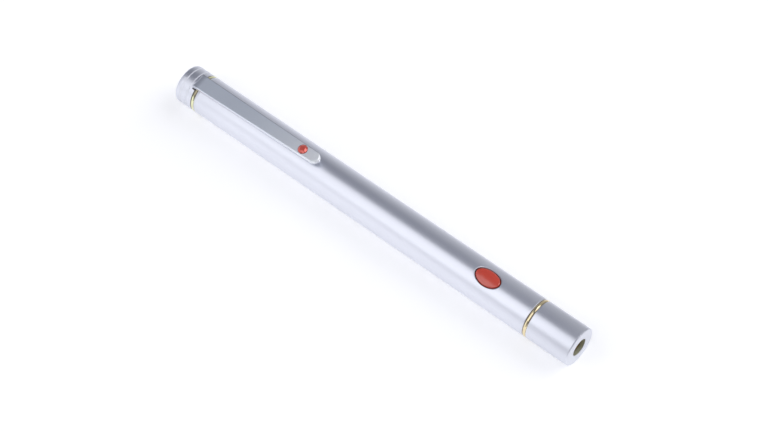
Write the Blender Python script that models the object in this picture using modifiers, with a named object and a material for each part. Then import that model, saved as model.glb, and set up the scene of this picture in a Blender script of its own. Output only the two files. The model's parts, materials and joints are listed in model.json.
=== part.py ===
"""A pen-shaped laser pointer.

A turned metal barrel holds a laser module, a driver board and two cells. A nose cap with
the beam's aperture is pressed in at the front and a tail cap screws in at the back, each
behind a gold trim ring. An oval button comes up through the barrel over the board's
switch, and a folded pocket clip with a red stone is notched into the tail cap.

The pen lies along X and the beam leaves towards +X. The button and the clip are on top
(+Z), and the barrel's lowest flat is at Z = 0. A station is a distance behind the front
face along the pen's axis, and a level is a height above that axis.
"""
import math

import bmesh
import bpy
from mathutils import Vector

mm = 0.001

# Facets round a turned piece
outer_sides = 48
inner_sides = 32
small_sides = 20
dome_sides = 96

# Clearances
seam = 0.1 * mm
fit = 0.1 * mm
rest_gap = 0.3 * mm
overrun = 1.0 * mm
weld = 0.01 * mm

# Cells, which set the barrel's bore and most of its length
cell_radius = 5.25 * mm
cell_body_length = 43.5 * mm
cell_edge = 0.45 * mm
cell_play = 0.3 * mm
cell_base_radius = 3.9 * mm
cell_base_height = 0.25 * mm
cell_crimp_depth = 0.3 * mm
cell_crimp_set = 1.9 * mm
cell_crimp_width = 0.7 * mm
terminal_radius = 3.4 * mm
terminal_sheet = 0.3 * mm
nub_radius = 1.9 * mm
nub_height = 1.0 * mm

# Barrel
barrel_wall = 0.7 * mm
barrel_lip = 0.08 * mm

# Nose cap
nose_length = 14.5 * mm
front_wall = 1.3 * mm
aperture_radius = 2.83 * mm
aperture_bevel = 0.2 * mm
face_chamfer = 0.42 * mm
spigot_wall = 0.7 * mm
spigot_reach = 3.45 * mm

# Trim rings
ring_width = 1.1 * mm
ring_edge = 0.2 * mm

# Laser module
lens_bore_radius = 3.6 * mm
throat_radius = 2.5 * mm
throat_length = 2.2 * mm
diode_seat_depth = 5.1 * mm
housing_groove_depth = 0.25 * mm
housing_groove_width = 1.0 * mm
retainer_recess = 0.3 * mm
retainer_length = 1.6 * mm
retainer_hole_radius = 1.7 * mm
retainer_slot_width = 0.8 * mm
retainer_slot_depth = 0.5 * mm
lens_edge_length = 0.8 * mm
lens_crown_radius = 2.3 * mm
lens_crown_height = 1.2 * mm
focus_wire_radius = 0.22 * mm
focus_pitch = 1.3 * mm

# Laser diode
header_radius = 2.8 * mm
header_length = 1.2 * mm
can_wall = 0.25 * mm
can_length = 2.1 * mm
window_hole_radius = 0.8 * mm
window_thickness = 0.25 * mm
pin_radius = 0.23 * mm
pin_spread = 1.1 * mm
pin_top_level = 1.27 * mm
pin_landing = 2.7 * mm

# Button
button_half_length = 4.1 * mm
button_half_width = 2.45 * mm
button_gap = 0.3 * mm
button_proud = 0.15 * mm
button_travel = 0.5 * mm
flange_ledge = 0.6 * mm
flange_lift = 0.2 * mm
flange_thickness = 0.8 * mm
post_radius = 1.2 * mm
post_length = 0.4 * mm

# Switch
switch_size = 6.0 * mm
switch_height = 3.05 * mm
switch_cover_sheet = 0.25 * mm
plunger_radius = 1.7 * mm
plunger_stand = 0.6 * mm
plunger_depth = 1.0 * mm

# Board and what is soldered on it
board_thickness = 1.0 * mm
board_gap = 0.5 * mm
part_gap = 0.7 * mm
solder = 0.1 * mm
resistor_length = 1.25 * mm
resistor_width = 2.0 * mm
resistor_height = 0.5 * mm
resistor_spread = 1.6 * mm
chip_length = 3.4 * mm
chip_width = 4.4 * mm
chip_height = 1.4 * mm
pot_length = 3.2 * mm
pot_width = 3.6 * mm
pot_height = 1.3 * mm
pot_screw_radius = 1.1 * mm
pot_screw_height = 0.5 * mm
capacitor_radius = 1.6 * mm
capacitor_height = 3.2 * mm
board_margin = 0.4 * mm

# Board carrier and front contact
carrier_wall = 0.8 * mm
carrier_lip = 0.6 * mm
carrier_end_wall = 1.0 * mm
rivet_radius = 0.8 * mm
contact_plate_radius = 3.4 * mm
contact_plate_sheet = 0.4 * mm
contact_spring_length = 3.1 * mm
contact_spring_radius = 2.6 * mm
contact_wire_radius = 0.25 * mm
contact_pitch = 1.05 * mm

# Tail bush, which carries the thread
thread_reach = 5.4 * mm
thread_pitch = 1.0 * mm
thread_depth = 0.4 * mm
thread_crest = 0.35 * mm
thread_flank = 0.2 * mm
bush_wall = 0.6 * mm
bush_setback = 0.5 * mm

# Tail cap
cap_length = 6.55 * mm
cap_end_wall = 0.9 * mm
cap_corner_radius = 0.9 * mm
cap_groove_depth = 0.15 * mm
cap_groove_width = 0.26 * mm
cap_front_groove_set = 1.9 * mm
cap_rear_groove_set = 2.25 * mm
seat_thickness = 0.8 * mm
seat_boss_radius = 2.2 * mm
seat_boss_height = 0.6 * mm
tail_wire_radius = 0.3 * mm
tail_spring_front_radius = 1.35 * mm
tail_spring_rear_radius = 3.5 * mm
tail_pitch = 1.9 * mm

# Clip
clip_sheet = 0.6 * mm
clip_reach = 49.5 * mm
clip_root_width = 4.95 * mm
clip_tip_width = 3.7 * mm
clip_root_rise = 1.5 * mm
clip_skirt_gap = 0.15 * mm
clip_tip_rise = 2.9 * mm
clip_point_length = 1.9 * mm
clip_bend_radius = 1.2 * mm
clip_set = 0.2 * mm
clip_play = 0.2 * mm
tab_depth = 0.6 * mm
bump_radius = 0.9 * mm
bump_foot_radius = 0.5 * mm
bump_set = 3.4 * mm

# Stone on the clip
stone_radius = 1.5 * mm
stone_set = 6.4 * mm
stone_recess = 0.3 * mm
stone_crown = 0.6 * mm

# How blunt the clip's point is: 2 would be a half ellipse and 1 a straight-sided point
point_power = 1.6
point_steps = 5
spring_points = 9

# Radii that follow from the cells
bore_radius = cell_radius + cell_play
tube_radius = bore_radius + barrel_wall
spigot_radius = bore_radius - fit
module_bore_radius = spigot_radius - spigot_wall
module_radius = module_bore_radius - fit
thread_root_radius = spigot_radius - thread_depth
bush_bore_radius = thread_root_radius - bush_wall

# Stations from the front face to the board
front_ring_start = nose_length + seam
front_ring_end = front_ring_start + ring_width
barrel_start = front_ring_end + seam
spigot_end = barrel_start + spigot_reach
module_start = front_wall + rest_gap
retainer_start = module_start + retainer_recess
retainer_end = retainer_start + retainer_length
lens_start = retainer_end + seam
lens_edge_end = lens_start + lens_edge_length
diode_seat = spigot_end - diode_seat_depth
throat_start = diode_seat - throat_length
header_start = diode_seat + seam
header_end = header_start + header_length
board_start = spigot_end + board_gap

# Stations along the board
resistor_start = board_start + pin_landing + part_gap
chip_start = resistor_start + resistor_length + part_gap
switch_start = chip_start + chip_length + part_gap
button_station = switch_start + switch_size / 2
pot_start = switch_start + switch_size + part_gap
capacitor_station = pot_start + pot_length + part_gap + capacitor_radius
board_end = capacitor_station + capacitor_radius + board_margin

# Stations from the board to the tail
carrier_wall_start = board_end + rest_gap
carrier_end = carrier_wall_start + carrier_end_wall
plate_start = carrier_end + seam
plate_end = plate_start + contact_plate_sheet
spring_start = plate_end + seam
spring_end = spring_start + contact_spring_length
front_cell_start = spring_end + seam
front_cell_end = front_cell_start + cell_body_length
rear_cell_start = front_cell_end + nub_height + rest_gap
rear_cell_end = rear_cell_start + cell_body_length
bush_start = rear_cell_end + bush_setback
barrel_end = bush_start + thread_reach
rear_ring_start = barrel_end + seam
rear_ring_end = rear_ring_start + ring_width
cap_start = rear_ring_end + seam
cap_end = cap_start + cap_length
cap_floor = cap_end - cap_end_wall
bush_end = cap_floor - seam
seat_end = cap_floor - seam
seat_start = seat_end - seat_thickness
pen_length = cap_end

# Levels under the button, from the bore down to the board
flange_half_length = button_half_length + flange_ledge
flange_half_width = button_half_width + flange_ledge
flange_top = math.sqrt(bore_radius ** 2 - flange_half_width ** 2) - flange_lift
flange_bottom = flange_top - flange_thickness
post_bottom = flange_bottom - post_length
plunger_top = post_bottom - seam
cover_top = plunger_top - plunger_stand
switch_top = cover_top - switch_cover_sheet - seam
switch_bottom = switch_top - switch_height
plunger_bottom = switch_top - plunger_depth
plunger_well = plunger_bottom - button_travel - rest_gap
board_top = switch_bottom - solder
board_bottom = board_top - board_thickness

# Places in the row's frame
front_x = pen_length / 2
axis_height = tube_radius * math.cos(math.pi / outer_sides)

parts = bpy.data.collections.new("laser_pointer")
cutters = bpy.data.collections.new("cutters")


def clear_scene():
    """Start from an empty scene with the two collections linked in."""
    for item in list(bpy.data.objects):
        bpy.data.objects.remove(item, do_unlink=True)
    bpy.context.scene.collection.children.link(parts)
    bpy.context.scene.collection.children.link(cutters)


def finish(name, colour, roughness, metallic):
    """Make a piece's own surface finish."""
    material = bpy.data.materials.new(name)
    material.use_nodes = True
    shader = material.node_tree.nodes["Principled BSDF"]
    shader.inputs["Base Color"].default_value = (*colour, 1.0)
    shader.inputs["Roughness"].default_value = roughness
    shader.inputs["Metallic"].default_value = metallic
    material.diffuse_color = (*colour, 1.0)
    return material


def satin_metal(name):
    return finish(name, (0.74, 0.75, 0.80), 0.34, 0.85)


def gold(name):
    return finish(name, (0.80, 0.60, 0.22), 0.18, 1.0)


def brass(name):
    return finish(name, (0.62, 0.47, 0.20), 0.32, 1.0)


def spring_steel(name):
    return finish(name, (0.60, 0.60, 0.62), 0.28, 1.0)


def nickel(name):
    return finish(name, (0.70, 0.69, 0.66), 0.25, 1.0)


def plastic(name, colour):
    return finish(name, colour, 0.45, 0.0)


def add_empty(name, location, rotation=(0.0, 0.0, 0.0)):
    """Add an empty that carries the pieces on one axis."""
    empty = bpy.data.objects.new(name, None)
    empty.location = location
    empty.rotation_euler = rotation
    parts.objects.link(empty)
    return empty


def add_object(name, data, material=None, parent=None, location=(0.0, 0.0, 0.0)):
    """Add a piece to the part, or a cutter if it has no finish."""
    item = bpy.data.objects.new(name, data)
    item.parent = parent
    item.location = location
    if material is None:
        cutters.objects.link(item)
        item.hide_render = True
        item.display_type = "WIRE"
    else:
        parts.objects.link(item)
        data.materials.append(material)
    return item


def mesh_from(name, form):
    """Turn a finished bmesh into mesh data."""
    mesh = bpy.data.meshes.new(name)
    form.to_mesh(mesh)
    form.free()
    return mesh


def turned(name, profile, sides, material, parent):
    """Turn a profile of (station, radius) points about its parent's Z axis.

    The profile runs down the outer side from the front to the back, then up the inner
    side if the piece is hollow. It starts half a step round, so that a flat of the piece
    and not a corner of it faces down.
    """
    half_step = math.pi / sides
    form = bmesh.new()
    corners = []
    for station, radius in profile:
        place = (radius * math.cos(half_step), -radius * math.sin(half_step), -station)
        corners.append(form.verts.new(place))
    for corner, following in zip(corners, corners[1:]):
        form.edges.new((corner, following))
    if profile[0][1] > 0.0:
        form.edges.new((corners[-1], corners[0]))
    item = add_object(name, mesh_from(name, form), material, parent)
    screw = item.modifiers.new("turn", "SCREW")
    screw.axis = "Z"
    screw.steps = sides
    screw.render_steps = sides
    screw.use_merge_vertices = True
    screw.merge_threshold = weld
    return item


def turned_arc(centre_station, centre_radius, radius, start, end, steps):
    """Points of a rounded edge in a turned profile, from one angle to another."""
    points = []
    for step in range(steps + 1):
        angle = start + (end - start) * step / steps
        station = centre_station + radius * math.sin(angle)
        points.append((station, centre_radius + radius * math.cos(angle)))
    return points


def spot(station, across, level):
    """The place in the row's frame of a station, an offset across and a level."""
    return Vector((front_x - station, across, axis_height + level))


def block(name, start, end, left, right, low, high, material=None):
    """A rectangular block between two stations, two sides and two levels."""
    form = bmesh.new()
    bmesh.ops.create_cube(form, size=1)
    bmesh.ops.scale(form, vec=(end - start, right - left, high - low), verts=form.verts)
    centre = spot((start + end) / 2, (left + right) / 2, (low + high) / 2)
    return add_object(name, mesh_from(name, form), material, None, centre)


def column(name, station, across, low, high, half_length, half_width, sides, material=None):
    """An upright round or oval column between two levels."""
    form = bmesh.new()
    bmesh.ops.create_cone(form, cap_ends=True, segments=sides, radius1=1, radius2=1, depth=1)
    bmesh.ops.scale(form, vec=(half_length, half_width, high - low), verts=form.verts)
    centre = spot(station, across, (low + high) / 2)
    return add_object(name, mesh_from(name, form), material, None, centre)


def outlined(name, points, thickness, material, parent):
    """A flat outline in its parent's XY plane, given a thickness about that plane."""
    curve = bpy.data.curves.new(name, "CURVE")
    curve.dimensions = "2D"
    curve.fill_mode = "BOTH"
    curve.extrude = thickness / 2
    spline = curve.splines.new("POLY")
    spline.points.add(len(points) - 1)
    for point, (along, across) in zip(spline.points, points):
        point.co = (along, across, 0.0, 1.0)
    spline.use_cyclic_u = True
    return add_object(name, curve, material, parent)


def meshed(item):
    """Replace a curve by the mesh it makes, so that it can be cut or can cut."""
    bpy.context.view_layer.update()
    seen = item.evaluated_get(bpy.context.evaluated_depsgraph_get())
    mesh = bpy.data.meshes.new_from_object(seen)
    form = bmesh.new()
    form.from_mesh(mesh)
    bmesh.ops.remove_doubles(form, verts=form.verts, dist=weld)
    form.to_mesh(mesh)
    form.free()
    name = item.name
    holder = item.users_collection[0]
    solid = bpy.data.objects.new(name, mesh)
    solid.parent = item.parent
    solid.matrix_world = item.matrix_world
    solid.hide_render = item.hide_render
    solid.display_type = item.display_type
    holder.objects.link(solid)
    bpy.data.objects.remove(item, do_unlink=True)
    solid.name = name
    return solid


def shape(item, tool, operation):
    """Cut a piece by a tool, join the tool to it or keep only what they share."""
    modifier = item.modifiers.new(tool.name, "BOOLEAN")
    modifier.operation = operation
    modifier.solver = "EXACT"
    modifier.object = tool


def coil(name, start, end, front_radius, rear_radius, wire_radius, pitch, material, parent):
    """Wind a spring as one tube, with a straight end square to each face it meets."""
    end_run = 2 * wire_radius
    wound = end - start - 2 * end_run
    curls = max(1, round(wound / pitch))
    steps = curls * spring_points
    points = [(front_radius, 0.0, -start)]
    for step in range(steps + 1):
        share = step / steps
        angle = 2 * math.pi * curls * share
        radius = front_radius + (rear_radius - front_radius) * share
        station = start + end_run + wound * share
        points.append((radius * math.cos(angle), radius * math.sin(angle), -station))
    points.append((rear_radius, 0.0, -end))
    apart = []
    for index, point in enumerate(points):
        for other in points[index + spring_points - 1:]:
            apart.append((Vector(point) - Vector(other)).length)
    print(name, "least gap to itself, mm:", round((min(apart) - 2 * wire_radius) / mm, 2))
    curve = bpy.data.curves.new(name, "CURVE")
    curve.dimensions = "3D"
    curve.bevel_depth = wire_radius
    curve.bevel_resolution = 1
    curve.use_fill_caps = True
    spline = curve.splines.new("POLY")
    spline.points.add(len(points) - 1)
    for place, point in zip(spline.points, points):
        place.co = (*point, 1.0)
    return add_object(name, curve, material, parent)


def make_barrel(axis):
    """The long tube, with the oval hole that the button comes up through."""
    profile = [
        (barrel_start, tube_radius - barrel_lip),
        (barrel_start + barrel_lip, tube_radius),
        (barrel_end - barrel_lip, tube_radius),
        (barrel_end, tube_radius - barrel_lip),
        (barrel_end, bore_radius),
        (barrel_start, bore_radius),
    ]
    barrel = turned("barrel", profile, outer_sides, satin_metal("barrel"), axis)
    hole = column(
        "button_hole", button_station, 0.0, 0.0, tube_radius + overrun,
        button_half_length + button_gap, button_half_width + button_gap, inner_sides,
    )
    shape(barrel, hole, "DIFFERENCE")


def make_nose_cap(axis):
    """The front cap: a face with the aperture, a skirt and a spigot into the barrel."""
    profile = [
        (0.0, tube_radius - face_chamfer),
        (face_chamfer, tube_radius),
        (nose_length - barrel_lip, tube_radius),
        (nose_length, tube_radius - barrel_lip),
        (nose_length, spigot_radius),
        (spigot_end, spigot_radius),
        (spigot_end, module_bore_radius),
        (front_wall, module_bore_radius),
        (front_wall, aperture_radius),
        (aperture_bevel, aperture_radius),
        (0.0, aperture_radius + aperture_bevel),
    ]
    turned("nose_cap", profile, outer_sides, satin_metal("nose_cap"), axis)


def make_trim_ring(name, start, axis):
    """A polished ring on a spigot, with eased edges that leave a fine line each side."""
    end = start + ring_width
    profile = [
        (start, tube_radius - ring_edge),
        (start + ring_edge, tube_radius),
        (end - ring_edge, tube_radius),
        (end, tube_radius - ring_edge),
        (end, bore_radius),
        (start, bore_radius),
    ]
    turned(name, profile, outer_sides, gold(name), axis)


def make_module(axis):
    """The brass laser module: housing, focus nut, lens and the spring behind the lens."""
    groove_end = diode_seat + housing_groove_width
    groove_radius = module_radius - housing_groove_depth
    diode_bore_radius = header_radius + fit
    housing = [
        (module_start, module_radius),
        (diode_seat, module_radius),
        (diode_seat, groove_radius),
        (groove_end, groove_radius),
        (groove_end, module_radius),
        (spigot_end, module_radius),
        (spigot_end, diode_bore_radius),
        (diode_seat, diode_bore_radius),
        (diode_seat, throat_radius),
        (throat_start, throat_radius),
        (throat_start, lens_bore_radius),
        (module_start, lens_bore_radius),
    ]
    turned("module_housing", housing, inner_sides, brass("module_housing"), axis)

    retainer_radius = lens_bore_radius - fit
    nut = [
        (retainer_start, retainer_radius),
        (retainer_end, retainer_radius),
        (retainer_end, retainer_hole_radius),
        (retainer_start, retainer_hole_radius),
    ]
    retainer = turned("lens_retainer", nut, inner_sides, brass("lens_retainer"), axis)
    slot_reach = retainer_radius + overrun
    slot = block(
        "retainer_slot", retainer_start - overrun, retainer_start + retainer_slot_depth,
        -retainer_slot_width / 2, retainer_slot_width / 2, -slot_reach, slot_reach,
    )
    shape(retainer, slot, "DIFFERENCE")

    crown_end = lens_edge_end + lens_crown_height
    crown_steps = 4
    glass = [(lens_start, 0.0), (lens_start, retainer_radius), (lens_edge_end, retainer_radius)]
    for step in range(crown_steps + 1):
        angle = math.pi / 2 * step / crown_steps
        station = lens_edge_end + lens_crown_height * math.sin(angle)
        glass.append((station, lens_crown_radius * math.cos(angle)))
    glass[-1] = (crown_end, 0.0)
    clear = finish("lens", (0.75, 0.85, 0.86), 0.05, 0.0)
    turned("lens", glass, inner_sides, clear, axis)

    coil_radius = retainer_radius - focus_wire_radius - fit
    coil(
        "focus_spring", lens_edge_end + seam, throat_start - seam, coil_radius, coil_radius,
        focus_wire_radius, focus_pitch, spring_steel("focus_spring"), axis,
    )


def make_diode(axis):
    """The laser diode: a header with three pins, a can with a hole and its window."""
    header_profile = [
        (header_start, 0.0),
        (header_start, header_radius),
        (header_end, header_radius),
        (header_end, 0.0),
    ]
    header = turned("diode_header", header_profile, inner_sides, gold("diode_header"), axis)
    low_pin_level = board_top + pin_radius + seam
    pin_end = board_start + pin_landing
    pin_places = (
        ("pin_left", -pin_spread, low_pin_level, pin_end),
        ("pin_right", pin_spread, low_pin_level, pin_end),
        ("pin_top", 0.0, pin_top_level, spigot_end),
    )
    for name, across, level, end in pin_places:
        start = header_end - header_length / 2
        form = bmesh.new()
        bmesh.ops.create_cone(
            form, cap_ends=True, segments=8, radius1=pin_radius, radius2=pin_radius,
            depth=end - start,
        )
        pin = add_object(name, mesh_from(name, form), None, axis)
        pin.location = (-level, across, -(start + end) / 2)
        shape(header, pin, "UNION")

    can_end = header_start - seam
    can_start = can_end - can_length
    can_radius = throat_radius - fit
    inside = can_radius - can_wall
    can_profile = [
        (can_start, can_radius),
        (can_end, can_radius),
        (can_end, inside),
        (can_start + can_wall, inside),
        (can_start + can_wall, window_hole_radius),
        (can_start, window_hole_radius),
    ]
    turned("diode_can", can_profile, inner_sides, nickel("diode_can"), axis)

    window_start = can_start + can_wall + seam
    window_end = window_start + window_thickness
    window_radius = inside - fit
    window_profile = [
        (window_start, 0.0),
        (window_start, window_radius),
        (window_end, window_radius),
        (window_end, 0.0),
    ]
    clear = finish("diode_window", (0.80, 0.86, 0.88), 0.05, 0.0)
    turned("diode_window", window_profile, small_sides, clear, axis)


def make_board(axis):
    """The driver board, its cradle and the parts soldered along its top."""
    cradle_radius = spigot_radius - carrier_wall
    corner = math.sqrt(cradle_radius ** 2 - board_bottom ** 2)
    half_width = corner - fit
    green = finish("circuit_board", (0.05, 0.28, 0.13), 0.45, 0.0)
    block(
        "circuit_board", board_start, board_end, -half_width, half_width,
        board_bottom, board_top, green,
    )

    rivet_hole_radius = rivet_radius + fit
    cradle = [
        (board_start, spigot_radius),
        (carrier_end, spigot_radius),
        (carrier_end, rivet_hole_radius),
        (carrier_wall_start, rivet_hole_radius),
        (carrier_wall_start, cradle_radius),
        (board_start, cradle_radius),
    ]
    white = plastic("board_carrier", (0.80, 0.80, 0.76))
    carrier = turned("board_carrier", cradle, inner_sides, white, axis)
    clearing = block(
        "carrier_clearing", board_start - overrun, carrier_wall_start,
        -tube_radius, tube_radius, board_top + carrier_lip, tube_radius,
    )
    shape(carrier, clearing, "DIFFERENCE")

    foot = board_top + solder
    for name, side in (("resistor_left", -1), ("resistor_right", 1)):
        middle = side * resistor_spread
        block(
            name, resistor_start, resistor_start + resistor_length,
            middle - resistor_width / 2, middle + resistor_width / 2,
            foot, foot + resistor_height, plastic(name, (0.05, 0.05, 0.06)),
        )
    block(
        "driver_chip", chip_start, chip_start + chip_length, -chip_width / 2, chip_width / 2,
        foot, foot + chip_height, plastic("driver_chip", (0.04, 0.04, 0.045)),
    )
    pot = block(
        "trim_pot", pot_start, pot_start + pot_length, -pot_width / 2, pot_width / 2,
        foot, foot + pot_height, plastic("trim_pot", (0.10, 0.22, 0.55)),
    )
    pot_top = foot + pot_height
    screw = column(
        "pot_screw_cutter", pot_start + pot_length / 2, 0.0, pot_top - pot_screw_height,
        pot_top + overrun, pot_screw_radius, pot_screw_radius, small_sides,
    )
    shape(pot, screw, "DIFFERENCE")
    column(
        "pot_screw", pot_start + pot_length / 2, 0.0, pot_top - pot_screw_height + seam,
        pot_top, pot_screw_radius - fit, pot_screw_radius - fit, small_sides,
        brass("pot_screw"),
    )
    column(
        "capacitor", capacitor_station, 0.0, foot, foot + capacitor_height,
        capacitor_radius, capacitor_radius, small_sides, nickel("capacitor"),
    )


def make_switch():
    """The press switch: a body with a well, a sheet cover and the plunger in the well."""
    half = switch_size / 2
    body = block(
        "switch_body", switch_start, switch_start + switch_size, -half, half,
        switch_bottom, switch_top, plastic("switch_body", (0.05, 0.05, 0.05)),
    )
    well_radius = plunger_radius + fit
    well = column(
        "switch_well", button_station, 0.0, plunger_well, cover_top + overrun,
        well_radius, well_radius, small_sides,
    )
    shape(body, well, "DIFFERENCE")
    cover = block(
        "switch_cover", switch_start, switch_start + switch_size, -half, half,
        switch_top + seam, cover_top, nickel("switch_cover"),
    )
    shape(cover, well, "DIFFERENCE")
    column(
        "switch_plunger", button_station, 0.0, plunger_bottom, plunger_top,
        plunger_radius, plunger_radius, small_sides,
        plastic("switch_plunger", (0.10, 0.10, 0.11)),
    )


def make_button(axis):
    """The red button: an oval head that follows the barrel, a flange and a short post."""
    red = plastic("button_cap", (0.55, 0.05, 0.04))
    button = column(
        "button_cap", button_station, 0.0, flange_bottom, tube_radius + overrun,
        button_half_length, button_half_width, inner_sides, red,
    )
    crown_radius = tube_radius + button_proud
    half_length = flange_half_length + overrun
    form = bmesh.new()
    bmesh.ops.create_cone(
        form, cap_ends=True, segments=dome_sides, radius1=crown_radius,
        radius2=crown_radius, depth=2 * half_length,
    )
    crown = add_object("button_crown", mesh_from("button_crown", form), None, axis)
    crown.location = (0.0, 0.0, -button_station)
    shape(button, crown, "INTERSECT")
    flange = column(
        "button_flange", button_station, 0.0, flange_bottom, flange_top,
        flange_half_length, flange_half_width, inner_sides,
    )
    shape(button, flange, "UNION")
    post_top = flange_bottom + flange_thickness / 2
    post = column(
        "button_post", button_station, 0.0, post_bottom, post_top,
        post_radius, post_radius, small_sides,
    )
    shape(button, post, "UNION")


def make_front_contact(axis):
    """The riveted plate on the carrier's end wall and the spring for the front cell."""
    rivet_start = carrier_wall_start - fit
    profile = [
        (rivet_start, 0.0),
        (rivet_start, rivet_radius),
        (plate_start, rivet_radius),
        (plate_start, contact_plate_radius),
        (plate_end, contact_plate_radius),
        (plate_end, 0.0),
    ]
    turned("contact_plate", profile, inner_sides, nickel("contact_plate"), axis)
    coil(
        "contact_spring", spring_start, spring_end, contact_spring_radius,
        contact_spring_radius, contact_wire_radius, contact_pitch,
        spring_steel("contact_spring"), axis,
    )


def make_cell(name, start, axis):
    """A cell with its base to the front: a crimped can and a terminal let into its end."""
    end = start + cell_body_length
    floor = end - terminal_sheet - seam
    well_radius = terminal_radius + fit
    crimp_end = end - cell_crimp_set
    crimp_start = crimp_end - cell_crimp_width
    shoulder = start + cell_base_height
    can = [
        (start, 0.0),
        (start, cell_base_radius),
        (shoulder, cell_base_radius),
        (shoulder, cell_radius - cell_edge),
        (shoulder + cell_edge, cell_radius),
        (crimp_start, cell_radius),
        (crimp_start + cell_crimp_width / 2, cell_radius - cell_crimp_depth),
        (crimp_end, cell_radius),
        (end - cell_edge, cell_radius),
        (end, cell_radius - cell_edge),
        (end, well_radius),
        (floor, well_radius),
        (floor, 0.0),
    ]
    jacket = plastic(name, (0.12, 0.13, 0.15))
    turned(name, can, inner_sides, jacket, axis)
    terminal = name + "_terminal"
    plate = floor + seam
    nub = [
        (plate, 0.0),
        (plate, terminal_radius),
        (end, terminal_radius),
        (end, nub_radius),
        (end + nub_height, nub_radius),
        (end + nub_height, 0.0),
    ]
    turned(terminal, nub, small_sides, nickel(terminal), axis)


def make_tail_bush(axis):
    """The threaded bush: ridges that screw into the barrel, then a plain sleeve."""
    profile = [(bush_start, thread_root_radius)]
    ridges = int(thread_reach / thread_pitch)
    for ridge in range(ridges):
        rise = bush_start + thread_pitch * ridge + thread_flank
        top = rise + thread_flank
        profile += [
            (rise, thread_root_radius),
            (top, spigot_radius),
            (top + thread_crest, spigot_radius),
            (top + thread_crest + thread_flank, thread_root_radius),
        ]
    profile += [
        (barrel_end, thread_root_radius),
        (barrel_end, spigot_radius),
        (bush_end, spigot_radius),
        (bush_end, bush_bore_radius),
        (bush_start, bush_bore_radius),
    ]
    return turned("tail_bush", profile, inner_sides, brass("tail_bush"), axis)


def make_tail_cap(axis):
    """The tail cap: a closed cup with two fine grooves and a rounded end."""
    profile = [
        (cap_floor, 0.0),
        (cap_floor, bore_radius),
        (cap_start, bore_radius),
        (cap_start, tube_radius - barrel_lip),
        (cap_start + barrel_lip, tube_radius),
    ]
    for middle in (cap_start + cap_front_groove_set, cap_end - cap_rear_groove_set):
        profile += [
            (middle - cap_groove_width / 2, tube_radius),
            (middle, tube_radius - cap_groove_depth),
            (middle + cap_groove_width / 2, tube_radius),
        ]
    corner_steps = 4
    profile += turned_arc(
        cap_end - cap_corner_radius, tube_radius - cap_corner_radius, cap_corner_radius,
        0.0, math.pi / 2, corner_steps,
    )
    profile.append((cap_end, 0.0))
    return turned("tail_cap", profile, outer_sides, satin_metal("tail_cap"), axis)


def make_tail_contact(axis):
    """The disc in the bottom of the tail cap and the tapered spring that stands on it."""
    disc_radius = bush_bore_radius - fit
    profile = [
        (seat_start - seat_boss_height, 0.0),
        (seat_start - seat_boss_height, seat_boss_radius),
        (seat_start, seat_boss_radius),
        (seat_start, disc_radius),
        (seat_end, disc_radius),
        (seat_end, 0.0),
    ]
    turned("tail_contact", profile, inner_sides, brass("tail_contact"), axis)
    coil(
        "tail_spring", rear_cell_end + nub_height + seam, seat_start - seam,
        tail_spring_front_radius, tail_spring_rear_radius, tail_wire_radius, tail_pitch,
        spring_steel("tail_spring"), axis,
    )


def clip_outline(inset, rear, tip):
    """The clip's outline from above, drawn in from its edge by an inset."""
    shoulder = tip - clip_point_length
    root_half = clip_root_width / 2 - inset
    tip_half = clip_tip_width / 2 - inset
    reach = clip_point_length - inset
    points = [(rear + inset, -root_half)]
    for step in range(-point_steps, point_steps + 1):
        share = step / point_steps
        forward = (1 - abs(share) ** point_power) ** (1 / point_power)
        points.append((shoulder + reach * forward, tip_half * share))
    points.append((rear + inset, root_half))
    return points


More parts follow.
